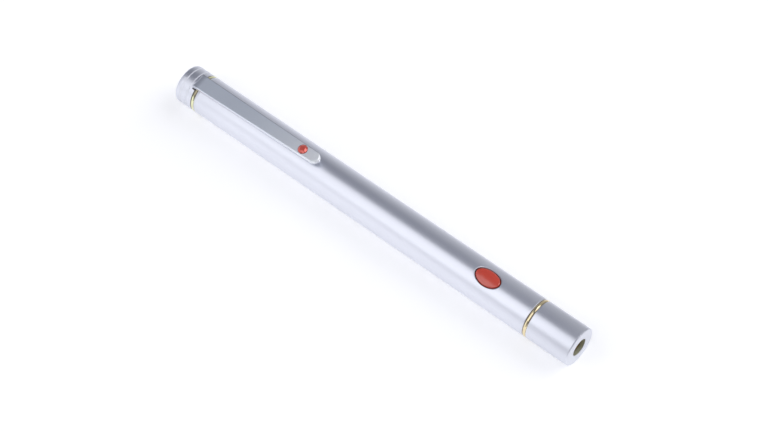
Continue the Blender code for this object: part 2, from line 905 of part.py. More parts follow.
def make_clip(pivot, tilt, bush, cap):
    """The folded clip: a tapered channel with a bent root that drops into the tail cap."""
    rear = -clip_sheet / 2
    tip = rear + clip_reach
    top = clip_root_rise
    bottom = clip_skirt_gap
    tab_bottom = spigot_radius - tube_radius - tab_depth
    bend_steps = 5
    side = [
        (tip + overrun, bottom),
        (tip + overrun, top),
    ]
    for step in range(bend_steps + 1):
        angle = math.pi / 2 * step / bend_steps
        side.append((
            rear + clip_bend_radius - clip_bend_radius * math.sin(angle),
            top - clip_bend_radius + clip_bend_radius * math.cos(angle),
        ))
    side += [
        (rear, tab_bottom),
        (rear + clip_sheet, tab_bottom),
        (rear + clip_sheet, bottom),
    ]
    silver = satin_metal("clip")
    blank = outlined("clip", side, clip_root_width + overrun, silver, pivot)
    blank.rotation_euler = (math.pi / 2, 0.0, 0.0)
    clip = meshed(blank)
    tall = 2 * (top - tab_bottom + overrun)
    plan = meshed(outlined("clip_plan", clip_outline(0.0, rear, tip), tall, None, pivot))
    shape(clip, plan, "INTERSECT")
    ceiling = top - clip_sheet
    pocket_points = clip_outline(clip_sheet, rear, tip)
    pocket = outlined("clip_pocket", pocket_points, tall, None, pivot)
    pocket.location = (0.0, 0.0, ceiling - tall / 2)
    shape(clip, meshed(pocket), "DIFFERENCE")

    bump_along = tip - bump_set
    bump_foot = rest_gap - bump_along * math.tan(tilt)
    bump_root = ceiling + clip_sheet / 2
    form = bmesh.new()
    bmesh.ops.create_cone(
        form, cap_ends=True, segments=small_sides, radius1=bump_foot_radius,
        radius2=bump_radius, depth=bump_root - bump_foot,
    )
    bump = add_object("clip_bump", mesh_from("clip_bump", form), None, pivot)
    bump.location = (bump_along, 0.0, (bump_root + bump_foot) / 2)
    shape(clip, bump, "UNION")

    stone_along = tip - stone_set
    well_floor = top - stone_recess
    well_top = top + overrun
    form = bmesh.new()
    bmesh.ops.create_cone(
        form, cap_ends=True, segments=small_sides, radius1=stone_radius + fit,
        radius2=stone_radius + fit, depth=well_top - well_floor,
    )
    well = add_object("stone_well", mesh_from("stone_well", form), None, pivot)
    well.location = (stone_along, 0.0, (well_floor + well_top) / 2)
    shape(clip, well, "DIFFERENCE")

    seat = add_empty("stone_seat", (stone_along, 0.0, top))
    seat.parent = pivot
    crown_steps = 4
    stone = []
    for step in range(crown_steps + 1):
        angle = math.pi / 2 * step / crown_steps
        stone.append((-stone_crown * math.cos(angle), stone_radius * math.sin(angle)))
    stone += [(stone_recess - seam, stone_radius), (stone_recess - seam, 0.0)]
    red = finish("clip_stone", (0.62, 0.03, 0.04), 0.08, 0.0)
    turned("clip_stone", stone, small_sides, red, seat)

    tab_start = cap_start + clip_set
    half_width = clip_root_width / 2 + clip_play
    notch = block(
        "clip_notch", cap_start - seam, tab_start + clip_sheet + clip_play,
        -half_width, half_width, tube_radius + tab_bottom - clip_play,
        tube_radius + overrun,
    )
    shape(cap, notch, "DIFFERENCE")
    shape(bush, notch, "DIFFERENCE")


def settle(item, sharp_angle):
    """Keep the evaluated mesh of a piece, shaded smooth across all but its sharp edges."""
    seen = item.evaluated_get(bpy.context.evaluated_depsgraph_get())
    mesh = bpy.data.meshes.new_from_object(seen)
    mesh.name = item.name
    item.modifiers.clear()
    item.data = mesh
    mesh.shade_smooth()
    mesh.set_sharp_from_angle(angle=sharp_angle)


def build():
    """Make the pieces in the order in which the pen goes together."""
    clear_scene()
    axis = add_empty("pen_axis", spot(0.0, 0.0, 0.0), (0.0, math.pi / 2, 0.0))
    make_nose_cap(axis)
    make_trim_ring("front_trim_ring", front_ring_start, axis)
    make_module(axis)
    make_diode(axis)
    make_board(axis)
    make_switch()
    make_front_contact(axis)
    make_barrel(axis)
    make_button(axis)
    make_cell("front_cell", front_cell_start, axis)
    make_cell("rear_cell", rear_cell_start, axis)
    bush = make_tail_bush(axis)
    make_trim_ring("rear_trim_ring", rear_ring_start, axis)
    cap = make_tail_cap(axis)
    make_tail_contact(axis)

    tilt = math.atan2(clip_tip_rise - clip_root_rise, clip_reach)
    hinge_station = cap_start + clip_set + clip_sheet / 2
    pivot = add_empty("clip_hinge", spot(hinge_station, 0.0, tube_radius), (0.0, -tilt, 0.0))
    make_clip(pivot, tilt, bush, cap)

    bpy.context.view_layer.update()
    sharp_angle = math.radians(35)
    pieces = [item for item in parts.objects if item.type == "MESH"]
    for item in pieces:
        settle(item, sharp_angle)


build()
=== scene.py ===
"""The looks of a pen-shaped laser pointer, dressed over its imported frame.

The sections follow the pen as it goes together, from the nose to the tail. A station is a
distance behind the front face, and a level is a height above the pen's axis.
"""
import json
import math

import bmesh
import bpy
from mathutils import Matrix, Vector


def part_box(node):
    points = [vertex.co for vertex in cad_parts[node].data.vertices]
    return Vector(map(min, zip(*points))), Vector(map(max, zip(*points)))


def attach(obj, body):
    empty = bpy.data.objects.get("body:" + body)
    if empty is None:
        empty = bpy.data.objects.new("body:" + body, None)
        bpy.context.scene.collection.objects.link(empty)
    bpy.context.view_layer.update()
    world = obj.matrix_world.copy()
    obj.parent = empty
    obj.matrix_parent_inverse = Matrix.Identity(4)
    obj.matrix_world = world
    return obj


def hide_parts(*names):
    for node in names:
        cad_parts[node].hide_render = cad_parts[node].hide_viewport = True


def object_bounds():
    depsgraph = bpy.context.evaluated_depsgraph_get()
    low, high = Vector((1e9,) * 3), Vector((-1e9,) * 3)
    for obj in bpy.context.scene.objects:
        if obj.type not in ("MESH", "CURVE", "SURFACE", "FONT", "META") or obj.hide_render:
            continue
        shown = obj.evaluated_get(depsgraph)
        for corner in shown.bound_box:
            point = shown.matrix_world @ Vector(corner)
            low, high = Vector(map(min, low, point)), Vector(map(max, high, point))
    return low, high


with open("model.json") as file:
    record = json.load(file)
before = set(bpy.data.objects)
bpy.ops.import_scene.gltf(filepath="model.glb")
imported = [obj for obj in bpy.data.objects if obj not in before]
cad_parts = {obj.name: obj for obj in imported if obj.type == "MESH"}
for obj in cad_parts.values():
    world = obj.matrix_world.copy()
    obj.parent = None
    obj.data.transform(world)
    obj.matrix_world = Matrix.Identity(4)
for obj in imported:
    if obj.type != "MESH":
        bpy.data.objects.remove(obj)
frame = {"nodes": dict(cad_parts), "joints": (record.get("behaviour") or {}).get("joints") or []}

# Nose cap: turned from bar and sprayed satin silver, with a flat face round the aperture.
# Its spigot is pressed into the barrel, so it doesn't turn. The bore of the aperture has no
# lacquer on it and shows bare brass, whose colour is partly a painted reflection of the brass nut.
mm = 0.001
cad_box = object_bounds()
front_x = cad_box[1].x
barrel_low, barrel_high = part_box("barrel")
tube_radius = (barrel_high.y - barrel_low.y) / 2
tube_wall = 0.7 * mm
axis_level = barrel_low.z + tube_radius
soft_edge = 0.08 * mm


def extent(low, high):
    """The stations of a box's front and rear ends, and how far it reaches to the side."""
    return front_x - high.x, front_x - low.x, high.y


spigot_end = extent(*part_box("nose_cap"))[1]
spigot_inset = 0.8 * mm
spigot_radius = tube_radius - spigot_inset
module_bore_radius = spigot_radius - tube_wall
nose_length = 14.5 * mm
nose_wall = 1.3 * mm
face_chamfer = 0.25 * mm
aperture_radius = 2.83 * mm
aperture_bevel = 0.08 * mm


class Wire:
    """A socket in a node tree. Operators on it add the Math nodes that they stand for."""

    def __init__(self, socket):
        self.socket = socket

    def node(self, kind, settings, values, output=0):
        """Add a node: its settings first, then the values or links of its sockets."""
        made = self.socket.id_data.nodes.new(kind)
        for name, setting in settings.items():
            setattr(made, name, setting)
        fill(made, values)
        return Wire(made.outputs[output])

    def maths(self, operation, *others):
        """Work on this value first, and then on the others."""
        values = dict(enumerate((self, *others)))
        return self.node("ShaderNodeMath", {"operation": operation}, values)

    def __add__(self, other):
        return self.maths("ADD", other)

    def __radd__(self, other):
        return self + other

    def __sub__(self, other):
        return self.maths("SUBTRACT", other)

    def __rsub__(self, other):
        return self.node("ShaderNodeMath", {"operation": "SUBTRACT"}, {0: other, 1: self})

    def __mul__(self, other):
        return self.maths("MULTIPLY", other)

    def __rmul__(self, other):
        return self * other

    def __truediv__(self, other):
        return self.maths("DIVIDE", other)

    def __lt__(self, other):
        return self.maths("LESS_THAN", other)

    def __gt__(self, other):
        return self.maths("GREATER_THAN", other)


def fill(node, values):
    """Set the sockets of a node, or link them where the value is a wire."""
    for name, value in values.items():
        if isinstance(value, Wire):
            node.id_data.links.new(value.socket, node.inputs[name])
        else:
            node.inputs[name].default_value = value


def new_tree(name, sizes):
    """A geometry tree with named inputs. Gives the tree and its inputs as wires."""
    tree = bpy.data.node_groups.new(name, "GeometryNodeTree")
    tree.interface.new_socket("Geometry", in_out="INPUT", socket_type="NodeSocketGeometry")
    tree.interface.new_socket("Geometry", in_out="OUTPUT", socket_type="NodeSocketGeometry")
    for size, kind in sizes.items():
        tree.interface.new_socket(size, in_out="INPUT", socket_type="NodeSocket" + kind)
    tree.interface.new_socket("Material", in_out="INPUT", socket_type="NodeSocketMaterial")
    entry = tree.nodes.new("NodeGroupInput")
    return tree, {socket.name: Wire(socket) for socket in entry.outputs if socket.name}


def end_tree(tree, geometry, material):
    """Finish a tree with its instances made real and its material set."""
    real = geometry.node("GeometryNodeRealizeInstances", {}, {0: geometry})
    dressed = real.node("GeometryNodeSetMaterial", {}, {"Geometry": real, "Material": material})
    tree.links.new(dressed.socket, tree.nodes.new("NodeGroupOutput").inputs[0])


def settled(piece, sharp=math.radians(32)):
    """Keep the mesh that a piece's modifiers make, shaded smooth but for its sharp edges."""
    seen = piece.evaluated_get(bpy.context.evaluated_depsgraph_get())
    mesh = bpy.data.meshes.new_from_object(seen)
    mesh.name = piece.name
    piece.modifiers.clear()
    piece.data = mesh
    mesh.shade_smooth()
    mesh.set_sharp_from_angle(angle=sharp)


def add_piece(name, mesh, *materials):
    """Put a mesh in the scene as a piece, in its materials. Lamps go in too."""
    for material in materials:
        mesh.materials.append(material)
    piece = bpy.data.objects.new(name, mesh)
    bpy.context.scene.collection.objects.link(piece)
    return piece


def grown(name, tree, sizes, start=None):
    """Run a geometry tree over a starting mesh and keep what it makes."""
    piece = add_piece(name, start or bpy.data.meshes.new(name))
    modifier = piece.modifiers.new("grow", "NODES")
    modifier.node_group = tree
    for item in tree.interface.items_tree:
        if item.in_out == "INPUT" and item.name in sizes:
            modifier[item.identifier] = sizes[item.name]
    settled(piece)
    if piece.data.materials[0] is None:
        piece.data.materials.pop(index=0)
    return piece


swing_radius = 10 * mm
weld = 0.001 * mm
turning, turn = new_tree("turning", {"Sides": "Int", "Front": "Vector"})
outline = turn["Geometry"].node("GeometryNodeMeshToCurve", {}, {0: turn["Geometry"]})
circle = outline.node(
    "GeometryNodeCurvePrimitiveCircle", {}, {"Resolution": turn["Sides"], "Radius": swing_radius}
)
swept = circle.node("GeometryNodeCurveToMesh", {}, {"Curve": circle, "Profile Curve": outline})
closed = swept.node("GeometryNodeMergeByDistance", {}, {"Geometry": swept, "Distance": weld})
laid = closed.node(
    "GeometryNodeTransform", {},
    {"Geometry": closed, "Translation": turn["Front"], "Rotation": (0.0, math.pi / 2, 0.0)},
)
end_tree(turning, laid, turn["Material"])


def eased(corners, steps=4):
    """The points of a closed outline. A corner (station, radius, ease) is rounded by an arc,
    and one without an ease is sharp."""
    points = []
    for index, (station, radius, *rounding) in enumerate(corners):
        here = Vector((station, radius))
        if not rounding:
            points.append(here)
            continue
        ease = rounding[0]
        before = (Vector(corners[index - 1][:2]) - here).normalized()
        after = (Vector(corners[(index + 1) % len(corners)][:2]) - here).normalized()
        half_angle = before.angle(after) / 2
        setback = ease / math.tan(half_angle)
        centre = here + (before + after).normalized() * ease / math.sin(half_angle)
        first = here + before * setback - centre
        last = here + after * setback - centre
        points.append(here + before * (setback + ease / 2))
        for step in range(steps + 1):
            points.append(centre + first.slerp(last, step / steps) * ease)
        points.append(here + after * (setback + ease / 2))
    return points


def turned(name, corners, finish, sides=128):
    """Turn an outline of corners about the pen's axis."""
    points = eased(corners)
    mesh = bpy.data.meshes.new(name)
    places = [(point.y - swing_radius, point.x, 0.0) for point in points]
    links = [(index, index + 1) for index in range(len(points) - 1)]
    if points[0].y > 0.0:
        links.append((len(points) - 1, 0))
    mesh.from_pydata(places, links, [])
    front = (front_x, 0.0, axis_level)
    piece = grown(name, turning, {"Sides": sides, "Front": front, "Material": finish}, mesh)
    form = bmesh.new()
    form.from_mesh(piece.data)
    bmesh.ops.recalc_face_normals(form, faces=form.faces)
    form.to_mesh(piece.data)
    form.free()
    return piece


def finish(name, recipe, **choices):
    """Make a material from a recipe, which gives the values of its shader's sockets."""
    material = bpy.data.materials.new(name)
    material.use_nodes = True
    tree = material.node_tree
    shader = tree.nodes["Principled BSDF"]
    place = Wire(tree.nodes.new("ShaderNodeTexCoord").outputs["Object"])
    fill(shader, recipe(place, **choices))
    return material


def noise(place, scale, detail=2.0):
    """Cloudy variation from 0 to 1. A scale of three numbers stretches it."""
    if isinstance(scale, tuple):
        place = place.node("ShaderNodeMapping", {}, {"Vector": place, "Scale": scale})
        scale = 1.0
    return place.node("ShaderNodeTexNoise", {}, {"Vector": place, "Scale": scale, "Detail": detail})


def blend(share, low, high):
    """A colour that goes from one to another as the share goes from 0 to 1."""
    sockets = {"Factor": share}
    for socket, colour in ((6, low), (7, high)):
        sockets[socket] = colour if isinstance(colour, Wire) else (*colour, 1.0)
    return share.node("ShaderNodeMix", {"data_type": "RGBA"}, sockets, output=2)


def relief(height, depth):
    """A bump of that depth, in metres, from a height of 0 to 1."""
    return height.node("ShaderNodeBump", {}, {"Height": height, "Distance": depth})


def ramp(value, start, end):
    """A smooth step from 0 to 1 as the value goes from start to end."""
    steps = {"Value": value, "From Min": start, "From Max": end}
    return value.node("ShaderNodeMapRange", {"interpolation_type": "SMOOTHSTEP"}, steps)


def numbers(vector):
    """The three numbers of a vector."""
    return [vector.node("ShaderNodeSeparateXYZ", {}, {0: vector}, output=axis) for axis in "XYZ"]


def apart(place):
    """The station of a place, how far it lies across the pen's axis, and its level."""
    x, y, z = numbers(place)
    return front_x - x, y, z - axis_level


def hypotenuse(first, second):
    """How long a line is that goes so far one way and so far square to it."""
    return (first * first + second * second).maths("SQRT")


def round_the_axis(place):
    """The station of a place and its distance from the pen's axis."""
    station, across, level = apart(place)
    return station, hypotenuse(across, level)


silver = (0.80, 0.815, 0.885)
clouded_silver = (0.785, 0.80, 0.872)
end_shaded_silver = (0.745, 0.76, 0.828)
brass_bore_and_reflection = (0.60, 0.60, 0.47)
painted_edge_shade = (0.52, 0.52, 0.58)
end_shade_reach = (50 * mm, 75 * mm)
edge_shade_levels = (2.6 * mm, 4.2 * mm)


def satin_silver(place, bare_inside=0.0, bare_from=0.0, worn_to=0.0):
    """Silver lacquer with a fine orange peel and faint clouds. Painted shade makes it a little darker
    towards both ends of the pen and draws a dark line along the top of its front edge. A bore
    is bare brass, whose colour is partly a painted reflection of the brass inside."""
    cloud = noise(place, 90.0, detail=3.0)
    grain = noise(place, 5200.0)
    station, radius = round_the_axis(place)
    from_middle = (station - front_x).maths("ABSOLUTE")
    colour = blend(cloud, clouded_silver, silver)
    # Painted shade: the lacquer is coloured darker towards both ends of the pen.
    colour = blend(ramp(from_middle, *end_shade_reach), colour, end_shaded_silver)
    # The bore is bare brass; its colour is partly a painted reflection of the brass focus nut.
    toned = ramp(radius, bare_inside + soft_edge, bare_inside) * ramp(
        station, bare_from, bare_from + soft_edge)
    # Painted shade: a dark line along the upper part of the front edge's chamfer.
    rim = ramp(radius, tube_radius - 0.8 * worn_to, tube_radius - 0.4 * worn_to)
    upper = ramp(apart(place)[2], *edge_shade_levels)
    worn = rim * upper * ramp(station, worn_to + soft_edge, worn_to) * (0.3 + 0.3 * grain)
    colour = blend(worn, colour, painted_edge_shade)
    return {
        "Base Color": blend(toned, colour, brass_bore_and_reflection),
        "Metallic": 1.0,
        "Roughness": 0.32 + 0.05 * cloud + 0.05 * grain + 0.2 * toned,
        "Normal": relief(grain, 0.0012 * mm),
    }


nose_silver = finish(
    "nose_silver", satin_silver, bare_inside=aperture_radius, bare_from=aperture_bevel,
    worn_to=face_chamfer,
)
nose_cap = turned("nose_cap_shell", [
    (0.0, tube_radius - face_chamfer, soft_edge),
    (face_chamfer, tube_radius, soft_edge),
    (nose_length, tube_radius, soft_edge),
    (nose_length, spigot_radius),
    (spigot_end, spigot_radius, soft_edge),
    (spigot_end, module_bore_radius),
    (nose_wall, module_bore_radius),
    (nose_wall, aperture_radius, soft_edge),
    (aperture_bevel, aperture_radius),
    (0.0, aperture_radius + aperture_bevel),
], nose_silver)
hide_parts("nose_cap")
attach(nose_cap, "barrel")

# Trim rings: two brass rings with a rounded crown, gold plated and polished. Each is held
# on a spigot between two tubes, the front one for good and the rear one by the tail cap.
ring_crown = 0.3 * mm
ring_spread = 0.08 * mm
ring_sides = 160
crown_steps = 16
grimy_levels = (4.1 * mm, 4.7 * mm)
clip_shade_levels = (4.4 * mm, 4.9 * mm)
warm_gold = (0.90, 0.76, 0.48)
pale_gold = (0.87, 0.86, 0.56)


def gold_plate(place, tone, grimy=1.0, film=0.0):
    """Polished gold plating with faint turning lines and a little haze. A ring darkens at its edges,
    partly grime in its joints and partly painted shade, which reaches further in over the top;
    on the right beside the clip it has painted shade as well."""
    lines = noise(place, (26000.0, 300.0, 300.0))
    haze = noise(place, 420.0)
    across, level = apart(place)[1:]
    # Painted shade: over the top of a ring the darkened edges reach further in.
    reach = 0.3 * ring_crown * ramp(level, *grimy_levels)
    crown = round_the_axis(place)[1] - reach
    # The darkened edges are partly grime in the joints and partly painted shade.
    joint_grime_and_shade = grimy * ramp(crown, tube_radius - 0.35 * ring_crown, tube_radius - 0.85 * ring_crown)
    # Painted shade: the ring is darker on the right near the clip.
    joint_grime_and_shade = joint_grime_and_shade.maths("MAXIMUM", film * ramp(level, *clip_shade_levels) * (across < 0.0))
    duller = tuple(0.94 * part for part in tone)
    return {
        "Base Color": blend(0.8 * joint_grime_and_shade, blend(haze, duller, tone), (0.26, 0.21, 0.15)),
        "Metallic": 1.0,
        "Roughness": 0.09 + 0.05 * haze + 0.12 * joint_grime_and_shade,
        "Normal": relief(lines, 0.0004 * mm),
    }


def ring_corners(node):
    """A ring's outline: a square band under a crown that rises by an arc."""
    start, end = extent(*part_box(node))[:2]
    start -= ring_spread
    width = end + ring_spread - start
    corners = []
    for step in range(crown_steps + 1):
        across = 2 * step / crown_steps - 1
        drop = ring_crown * across ** 2
        corners.append((start + width * step / crown_steps, tube_radius - drop))
    inner = tube_radius - tube_wall
    return corners + [(start + width, inner), (start, inner)]


# The last number is how much painted shade a ring gets on the right beside the clip.
rings = (
    ("front_trim_ring", "barrel", warm_gold, 0.0),
    ("rear_trim_ring", "tail_cap", pale_gold, 1.0),
)
for node, body, tone, film in rings:
    plating = finish(node + "_gold", gold_plate, tone=tone, film=film)
    ring = turned(node + "_gold", ring_corners(node), plating, ring_sides)
    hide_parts(node)
    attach(ring, body)

# Module housing: a brass tube turned with a lens bore, a throat and a seat for the diode.
# It slides into the nose cap's spigot and is held there by a drop of glue in its groove.
module_start, module_end, module_radius = extent(*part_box("module_housing"))
diode_seat = module_end - 5.1 * mm
throat_start = diode_seat - 2.2 * mm
lens_bore_radius = 3.6 * mm
diode_bore_radius = 2.9 * mm
throat_radius = 2.5 * mm
groove_width = 1.0 * mm
groove_depth = 0.25 * mm
brass_ease = 0.1 * mm


def turned_brass(place):
    """Bare brass with tool marks round it and a brown tarnish in patches."""
    marks = noise(place, (14000.0, 120.0, 120.0))
    tarnish = ramp(noise(place, 700.0, detail=4.0), 0.35, 0.75)
    return {
        "Base Color": blend(tarnish, (0.66, 0.52, 0.24), (0.48, 0.36, 0.17)),
        "Metallic": 1.0,
        "Roughness": 0.24 + 0.14 * tarnish + 0.08 * marks,
        "Normal": relief(marks, 0.002 * mm),
    }


brass = finish("turned_brass", turned_brass)
housing = turned("module_tube", [
    (module_start, module_radius, brass_ease),
    (diode_seat, module_radius, brass_ease / 2),
    (diode_seat, module_radius - groove_depth),
    (diode_seat + groove_width, module_radius - groove_depth),
    (diode_seat + groove_width, module_radius, brass_ease / 2),
    (module_end, module_radius, brass_ease),
    (module_end, diode_bore_radius, brass_ease),
    (diode_seat, diode_bore_radius),
    (diode_seat, throat_radius, brass_ease),
    (throat_start, throat_radius, brass_ease),
    (throat_start, lens_bore_radius),
    (module_start, lens_bore_radius, brass_ease),
], brass)
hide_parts("module_housing")
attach(housing, "barrel")

# Focus nut, lens and spring: a slotted brass nut screws down on a moulded glass lens, which
# a spring in the module's throat holds up against it. Turning the nut focuses the beam.
nut_start, nut_end, nut_radius = extent(*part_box("lens_retainer"))
nut_hole = 1.7 * mm
slot_width = 0.8 * mm
slot_depth = 0.5 * mm
overrun = 1.0 * mm
lens_start, lens_end, lens_radius = extent(*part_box("lens"))
lens_edge = lens_start + 0.8 * mm
lens_crown_radius = 2.3 * mm
lens_steps = 12


def poured(form, name):
    """A mesh of a form, with its faces turned outwards."""
    bmesh.ops.recalc_face_normals(form, faces=form.faces)
    mesh = bpy.data.meshes.new(name)
    form.to_mesh(mesh)
    form.free()
    return mesh


def block(name, low, high):
    """A plain block between two corners, for cutting."""
    form = bmesh.new()
    bmesh.ops.create_cube(form, size=1.0)
    bmesh.ops.scale(form, vec=high - low, verts=form.verts)
    bmesh.ops.translate(form, vec=(high + low) / 2, verts=form.verts)
    return add_piece(name, poured(form, name))


def shape(piece, tool, operation="DIFFERENCE"):
    """Cut a piece by a tool, or join the two, and throw the tool away."""
    modifier = piece.modifiers.new("shape", "BOOLEAN")
    modifier.operation = operation
    modifier.object = tool
    settled(piece)
    bpy.data.objects.remove(tool)


nut = turned("focus_nut", [
    (nut_start, nut_radius, brass_ease),
    (nut_end, nut_radius, brass_ease),
    (nut_end, nut_hole, brass_ease),
    (nut_start, nut_hole, brass_ease),
], brass)
slot_low = Vector((front_x - nut_start - slot_depth, -slot_width / 2, 0.0))
slot_high = Vector((front_x - nut_start + overrun, slot_width / 2, axis_level * 2))
shape(nut, block("nut_slot", slot_low, slot_high))
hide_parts("lens_retainer")
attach(nut, "barrel")


def lens_glass(place):
    """Moulded glass with a faint coating and a trace of dust."""
    dust = ramp(noise(place, 2600.0, detail=4.0), 0.55, 0.8)
    return {
        "Base Color": blend(dust, (0.90, 0.95, 0.95), (0.80, 0.82, 0.80)),
        "Roughness": 0.03 + 0.2 * dust,
        "IOR": 1.5,
        "Transmission Weight": 1.0,
    }


lens_corners = [
    (lens_start, 0.0),
    (lens_start, lens_radius, soft_edge),
    (lens_edge, lens_radius, soft_edge),
]
for step in range(lens_steps):
    angle = math.pi / 2 * step / lens_steps
    bulge = (lens_end - lens_edge) * math.sin(angle)
    lens_corners.append((lens_edge + bulge, lens_crown_radius * math.cos(angle)))
lens_corners.append((lens_end, 0.0))
glass = finish("lens_glass", lens_glass)
lens = turned("focus_lens", lens_corners, glass)
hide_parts("lens")
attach(lens, "barrel")

coiling, coil = new_tree("coiling", {
    "Front": "Float", "Rear": "Float", "Turns": "Float",
    "Front Radius": "Float", "Rear Radius": "Float", "Wire Radius": "Float",
})
turn_points = 40
wire_sides = 12
closing_share = 0.82
full_turn = 2 * math.pi
straight = coil["Geometry"].node("GeometryNodeCurvePrimitiveLine", {}, {"End": (1.0, 0.0, 0.0)})
count = coil["Turns"] * turn_points
straight = straight.node("GeometryNodeResampleCurve", {}, {"Curve": straight, "Count": count})
share = straight.node("GeometryNodeSplineParameter", {}, {})
swing = share * coil["Turns"] * full_turn
run = share - (share * full_turn).maths("SINE") * (closing_share / full_turn)
reach = coil["Front Radius"] + (coil["Rear Radius"] - coil["Front Radius"]) * share
bent = straight.node("GeometryNodeSetPosition", {}, {
    "Geometry": straight,
    "Position": swing.node("ShaderNodeCombineXYZ", {}, {
        "X": coil["Front"] + (coil["Rear"] - coil["Front"]) * run,
        "Y": reach * swing.maths("COSINE"),
        "Z": axis_level + reach * swing.maths("SINE"),
    }),
})
wire = bent.node(
    "GeometryNodeCurvePrimitiveCircle", {}, {"Resolution": wire_sides, "Radius": coil["Wire Radius"]}
)
drawn = bent.node(
    "GeometryNodeCurveToMesh", {}, {"Curve": bent, "Profile Curve": wire, "Fill Caps": True}
)
end_tree(coiling, drawn, coil["Material"])


def spring_wire(place):
    """Drawn spring steel: die lines along the wire and a straw tint from stress relief."""
    tint = noise(place, 300.0)
    lines = noise(place, 9000.0)
    return {
        "Base Color": blend(tint, (0.60, 0.60, 0.60), (0.62, 0.57, 0.50)),
        "Metallic": 1.0,
        "Roughness": 0.22 + 0.12 * lines,
        "Normal": relief(lines, 0.001 * mm),
    }


spring_steel = finish("spring_wire", spring_wire)


def wound(node, body, turns, wire_radius, front_radius, rear_radius):
    """A compression spring with closed ends, in the room of its node."""
    low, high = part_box(node)
    spring = grown(node + "_wire", coiling, {
        "Front": high.x - wire_radius,
        "Rear": low.x + wire_radius,
        "Turns": turns,
        "Front Radius": front_radius,
        "Rear Radius": rear_radius,
        "Wire Radius": wire_radius,
        "Material": spring_steel,
    })
    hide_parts(node)
    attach(spring, body)


wound(
    "focus_spring", "barrel", turns=6.0, wire_radius=0.22 * mm,
    front_radius=3.1 * mm, rear_radius=3.1 * mm,
)

# Laser diode: a gilt header with three pins, a nickel can welded on it and a glass window
# in the can. It is pressed into the seat at the back of the module.


def refinish(node, material):
    """Give a piece of the frame its finish."""
    frame["nodes"][node].material_slots[0].material = material


def nickel_plate(place):
    """Bright nickel with rolling lines along it and a slight yellow haze."""
    haze = noise(place, 500.0, detail=3.0)
    rolled = noise(place, (300.0, 12000.0, 12000.0))
    return {
        "Base Color": blend(haze, (0.72, 0.70, 0.66), (0.64, 0.61, 0.55)),
        "Metallic": 1.0,
        "Roughness": 0.16 + 0.12 * haze + 0.06 * rolled,
        "Normal": relief(rolled, 0.0008 * mm),
    }


nickel = finish("nickel_plate", nickel_plate)
refinish("diode_header", finish("header_gilt", gold_plate, tone=warm_gold, grimy=0.0))
refinish("diode_can", nickel)
refinish("diode_window", glass)

# Driver board: a green board in a white moulded cradle, with two resistors, the driver
# chip, a trim pot for the diode's current and a can capacitor soldered along its top.
board_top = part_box("circuit_board")[1].z
track_pitch = 0.62 * mm
resistors = ("resistor_left", "resistor_right")
resistor_row = 1.6 * mm
tinned_from = 0.68 * mm
tinned_edge = 0.04 * mm


def solder_mask(place):
    """Green mask over copper tracks, which show as raised and lighter lines."""
    wander = noise(place, 500.0, detail=0.0) * (0.5 * track_pitch)
    wave = ((apart(place)[1] + wander) / track_pitch).maths("FRACT")
    track = ramp(wave, 0.30, 0.38) * ramp(wave, 0.72, 0.64)
    weave = noise(place, 4000.0)
    return {
        "Base Color": blend(track, (0.012, 0.11, 0.045), (0.025, 0.20, 0.085)),
        "Roughness": 0.28 + 0.12 * weave,
        "Normal": relief(track * 0.8 + weave * 0.2, 0.02 * mm),
        "Coat Weight": 0.3,
    }


def moulded(place, colour):
    """Moulded plastic: a fine spark-eroded grain and faint flow marks."""
    grain = noise(place, 4200.0, detail=3.0)
    flow = noise(place, 220.0)
    darker = tuple(0.82 * part for part in colour)
    return {
        "Base Color": blend(flow, darker, colour),
        "Roughness": 0.38 + 0.18 * grain,
        "Normal": relief(grain, 0.004 * mm),
    }


def resistor_body(place):
    """A black chip resistor with tinned ends."""
    out = (apart(place)[1].maths("ABSOLUTE") - resistor_row).maths("ABSOLUTE")
    tinned = ramp(out, tinned_from, tinned_from + tinned_edge)
    grain = noise(place, 5000.0)
    return {
        "Base Color": blend(tinned, (0.02, 0.02, 0.024), (0.62, 0.62, 0.60)),
        "Metallic": tinned,
        "Roughness": 0.34 + 0.15 * grain,
        "Normal": relief(grain, 0.004 * mm),
    }


refinish("circuit_board", finish("solder_mask", solder_mask))
refinish("board_carrier", finish("white_moulding", moulded, colour=(0.80, 0.80, 0.76)))
for node in resistors:
    refinish(node, finish(node + "_body", resistor_body))
refinish("driver_chip", finish("chip_moulding", moulded, colour=(0.030, 0.030, 0.034)))
refinish("trim_pot", finish("pot_moulding", moulded, colour=(0.06, 0.16, 0.48)))
refinish("pot_screw", brass)
refinish("capacitor", nickel)

drop_radius = 0.2 * mm
drop_height = 0.2 * mm
drop_top_share = 0.35
soldering, solder = new_tree("soldering", {"Foot Radius": "Float", "Height": "Float"})
cone = solder["Geometry"].node("GeometryNodeMeshCone", {}, {
    "Vertices": 14,
    "Side Segments": 3,
    "Radius Top": solder["Foot Radius"] * drop_top_share,
    "Radius Bottom": solder["Foot Radius"],
    "Depth": solder["Height"],
})
drops = cone.node("GeometryNodeInstanceOnPoints", {}, {0: solder["Geometry"], "Instance": cone})
end_tree(soldering, drops, solder["Material"])


def solder_tin(place):
    """Tin solder, bright where it flowed and grey where it froze."""
    frost = noise(place, 3500.0, detail=3.0)
    return {
        "Base Color": blend(frost, (0.70, 0.70, 0.68), (0.50, 0.50, 0.50)),
        "Metallic": 1.0,
        "Roughness": 0.22 + 0.3 * frost,
        "Normal": relief(frost, 0.006 * mm),
    }


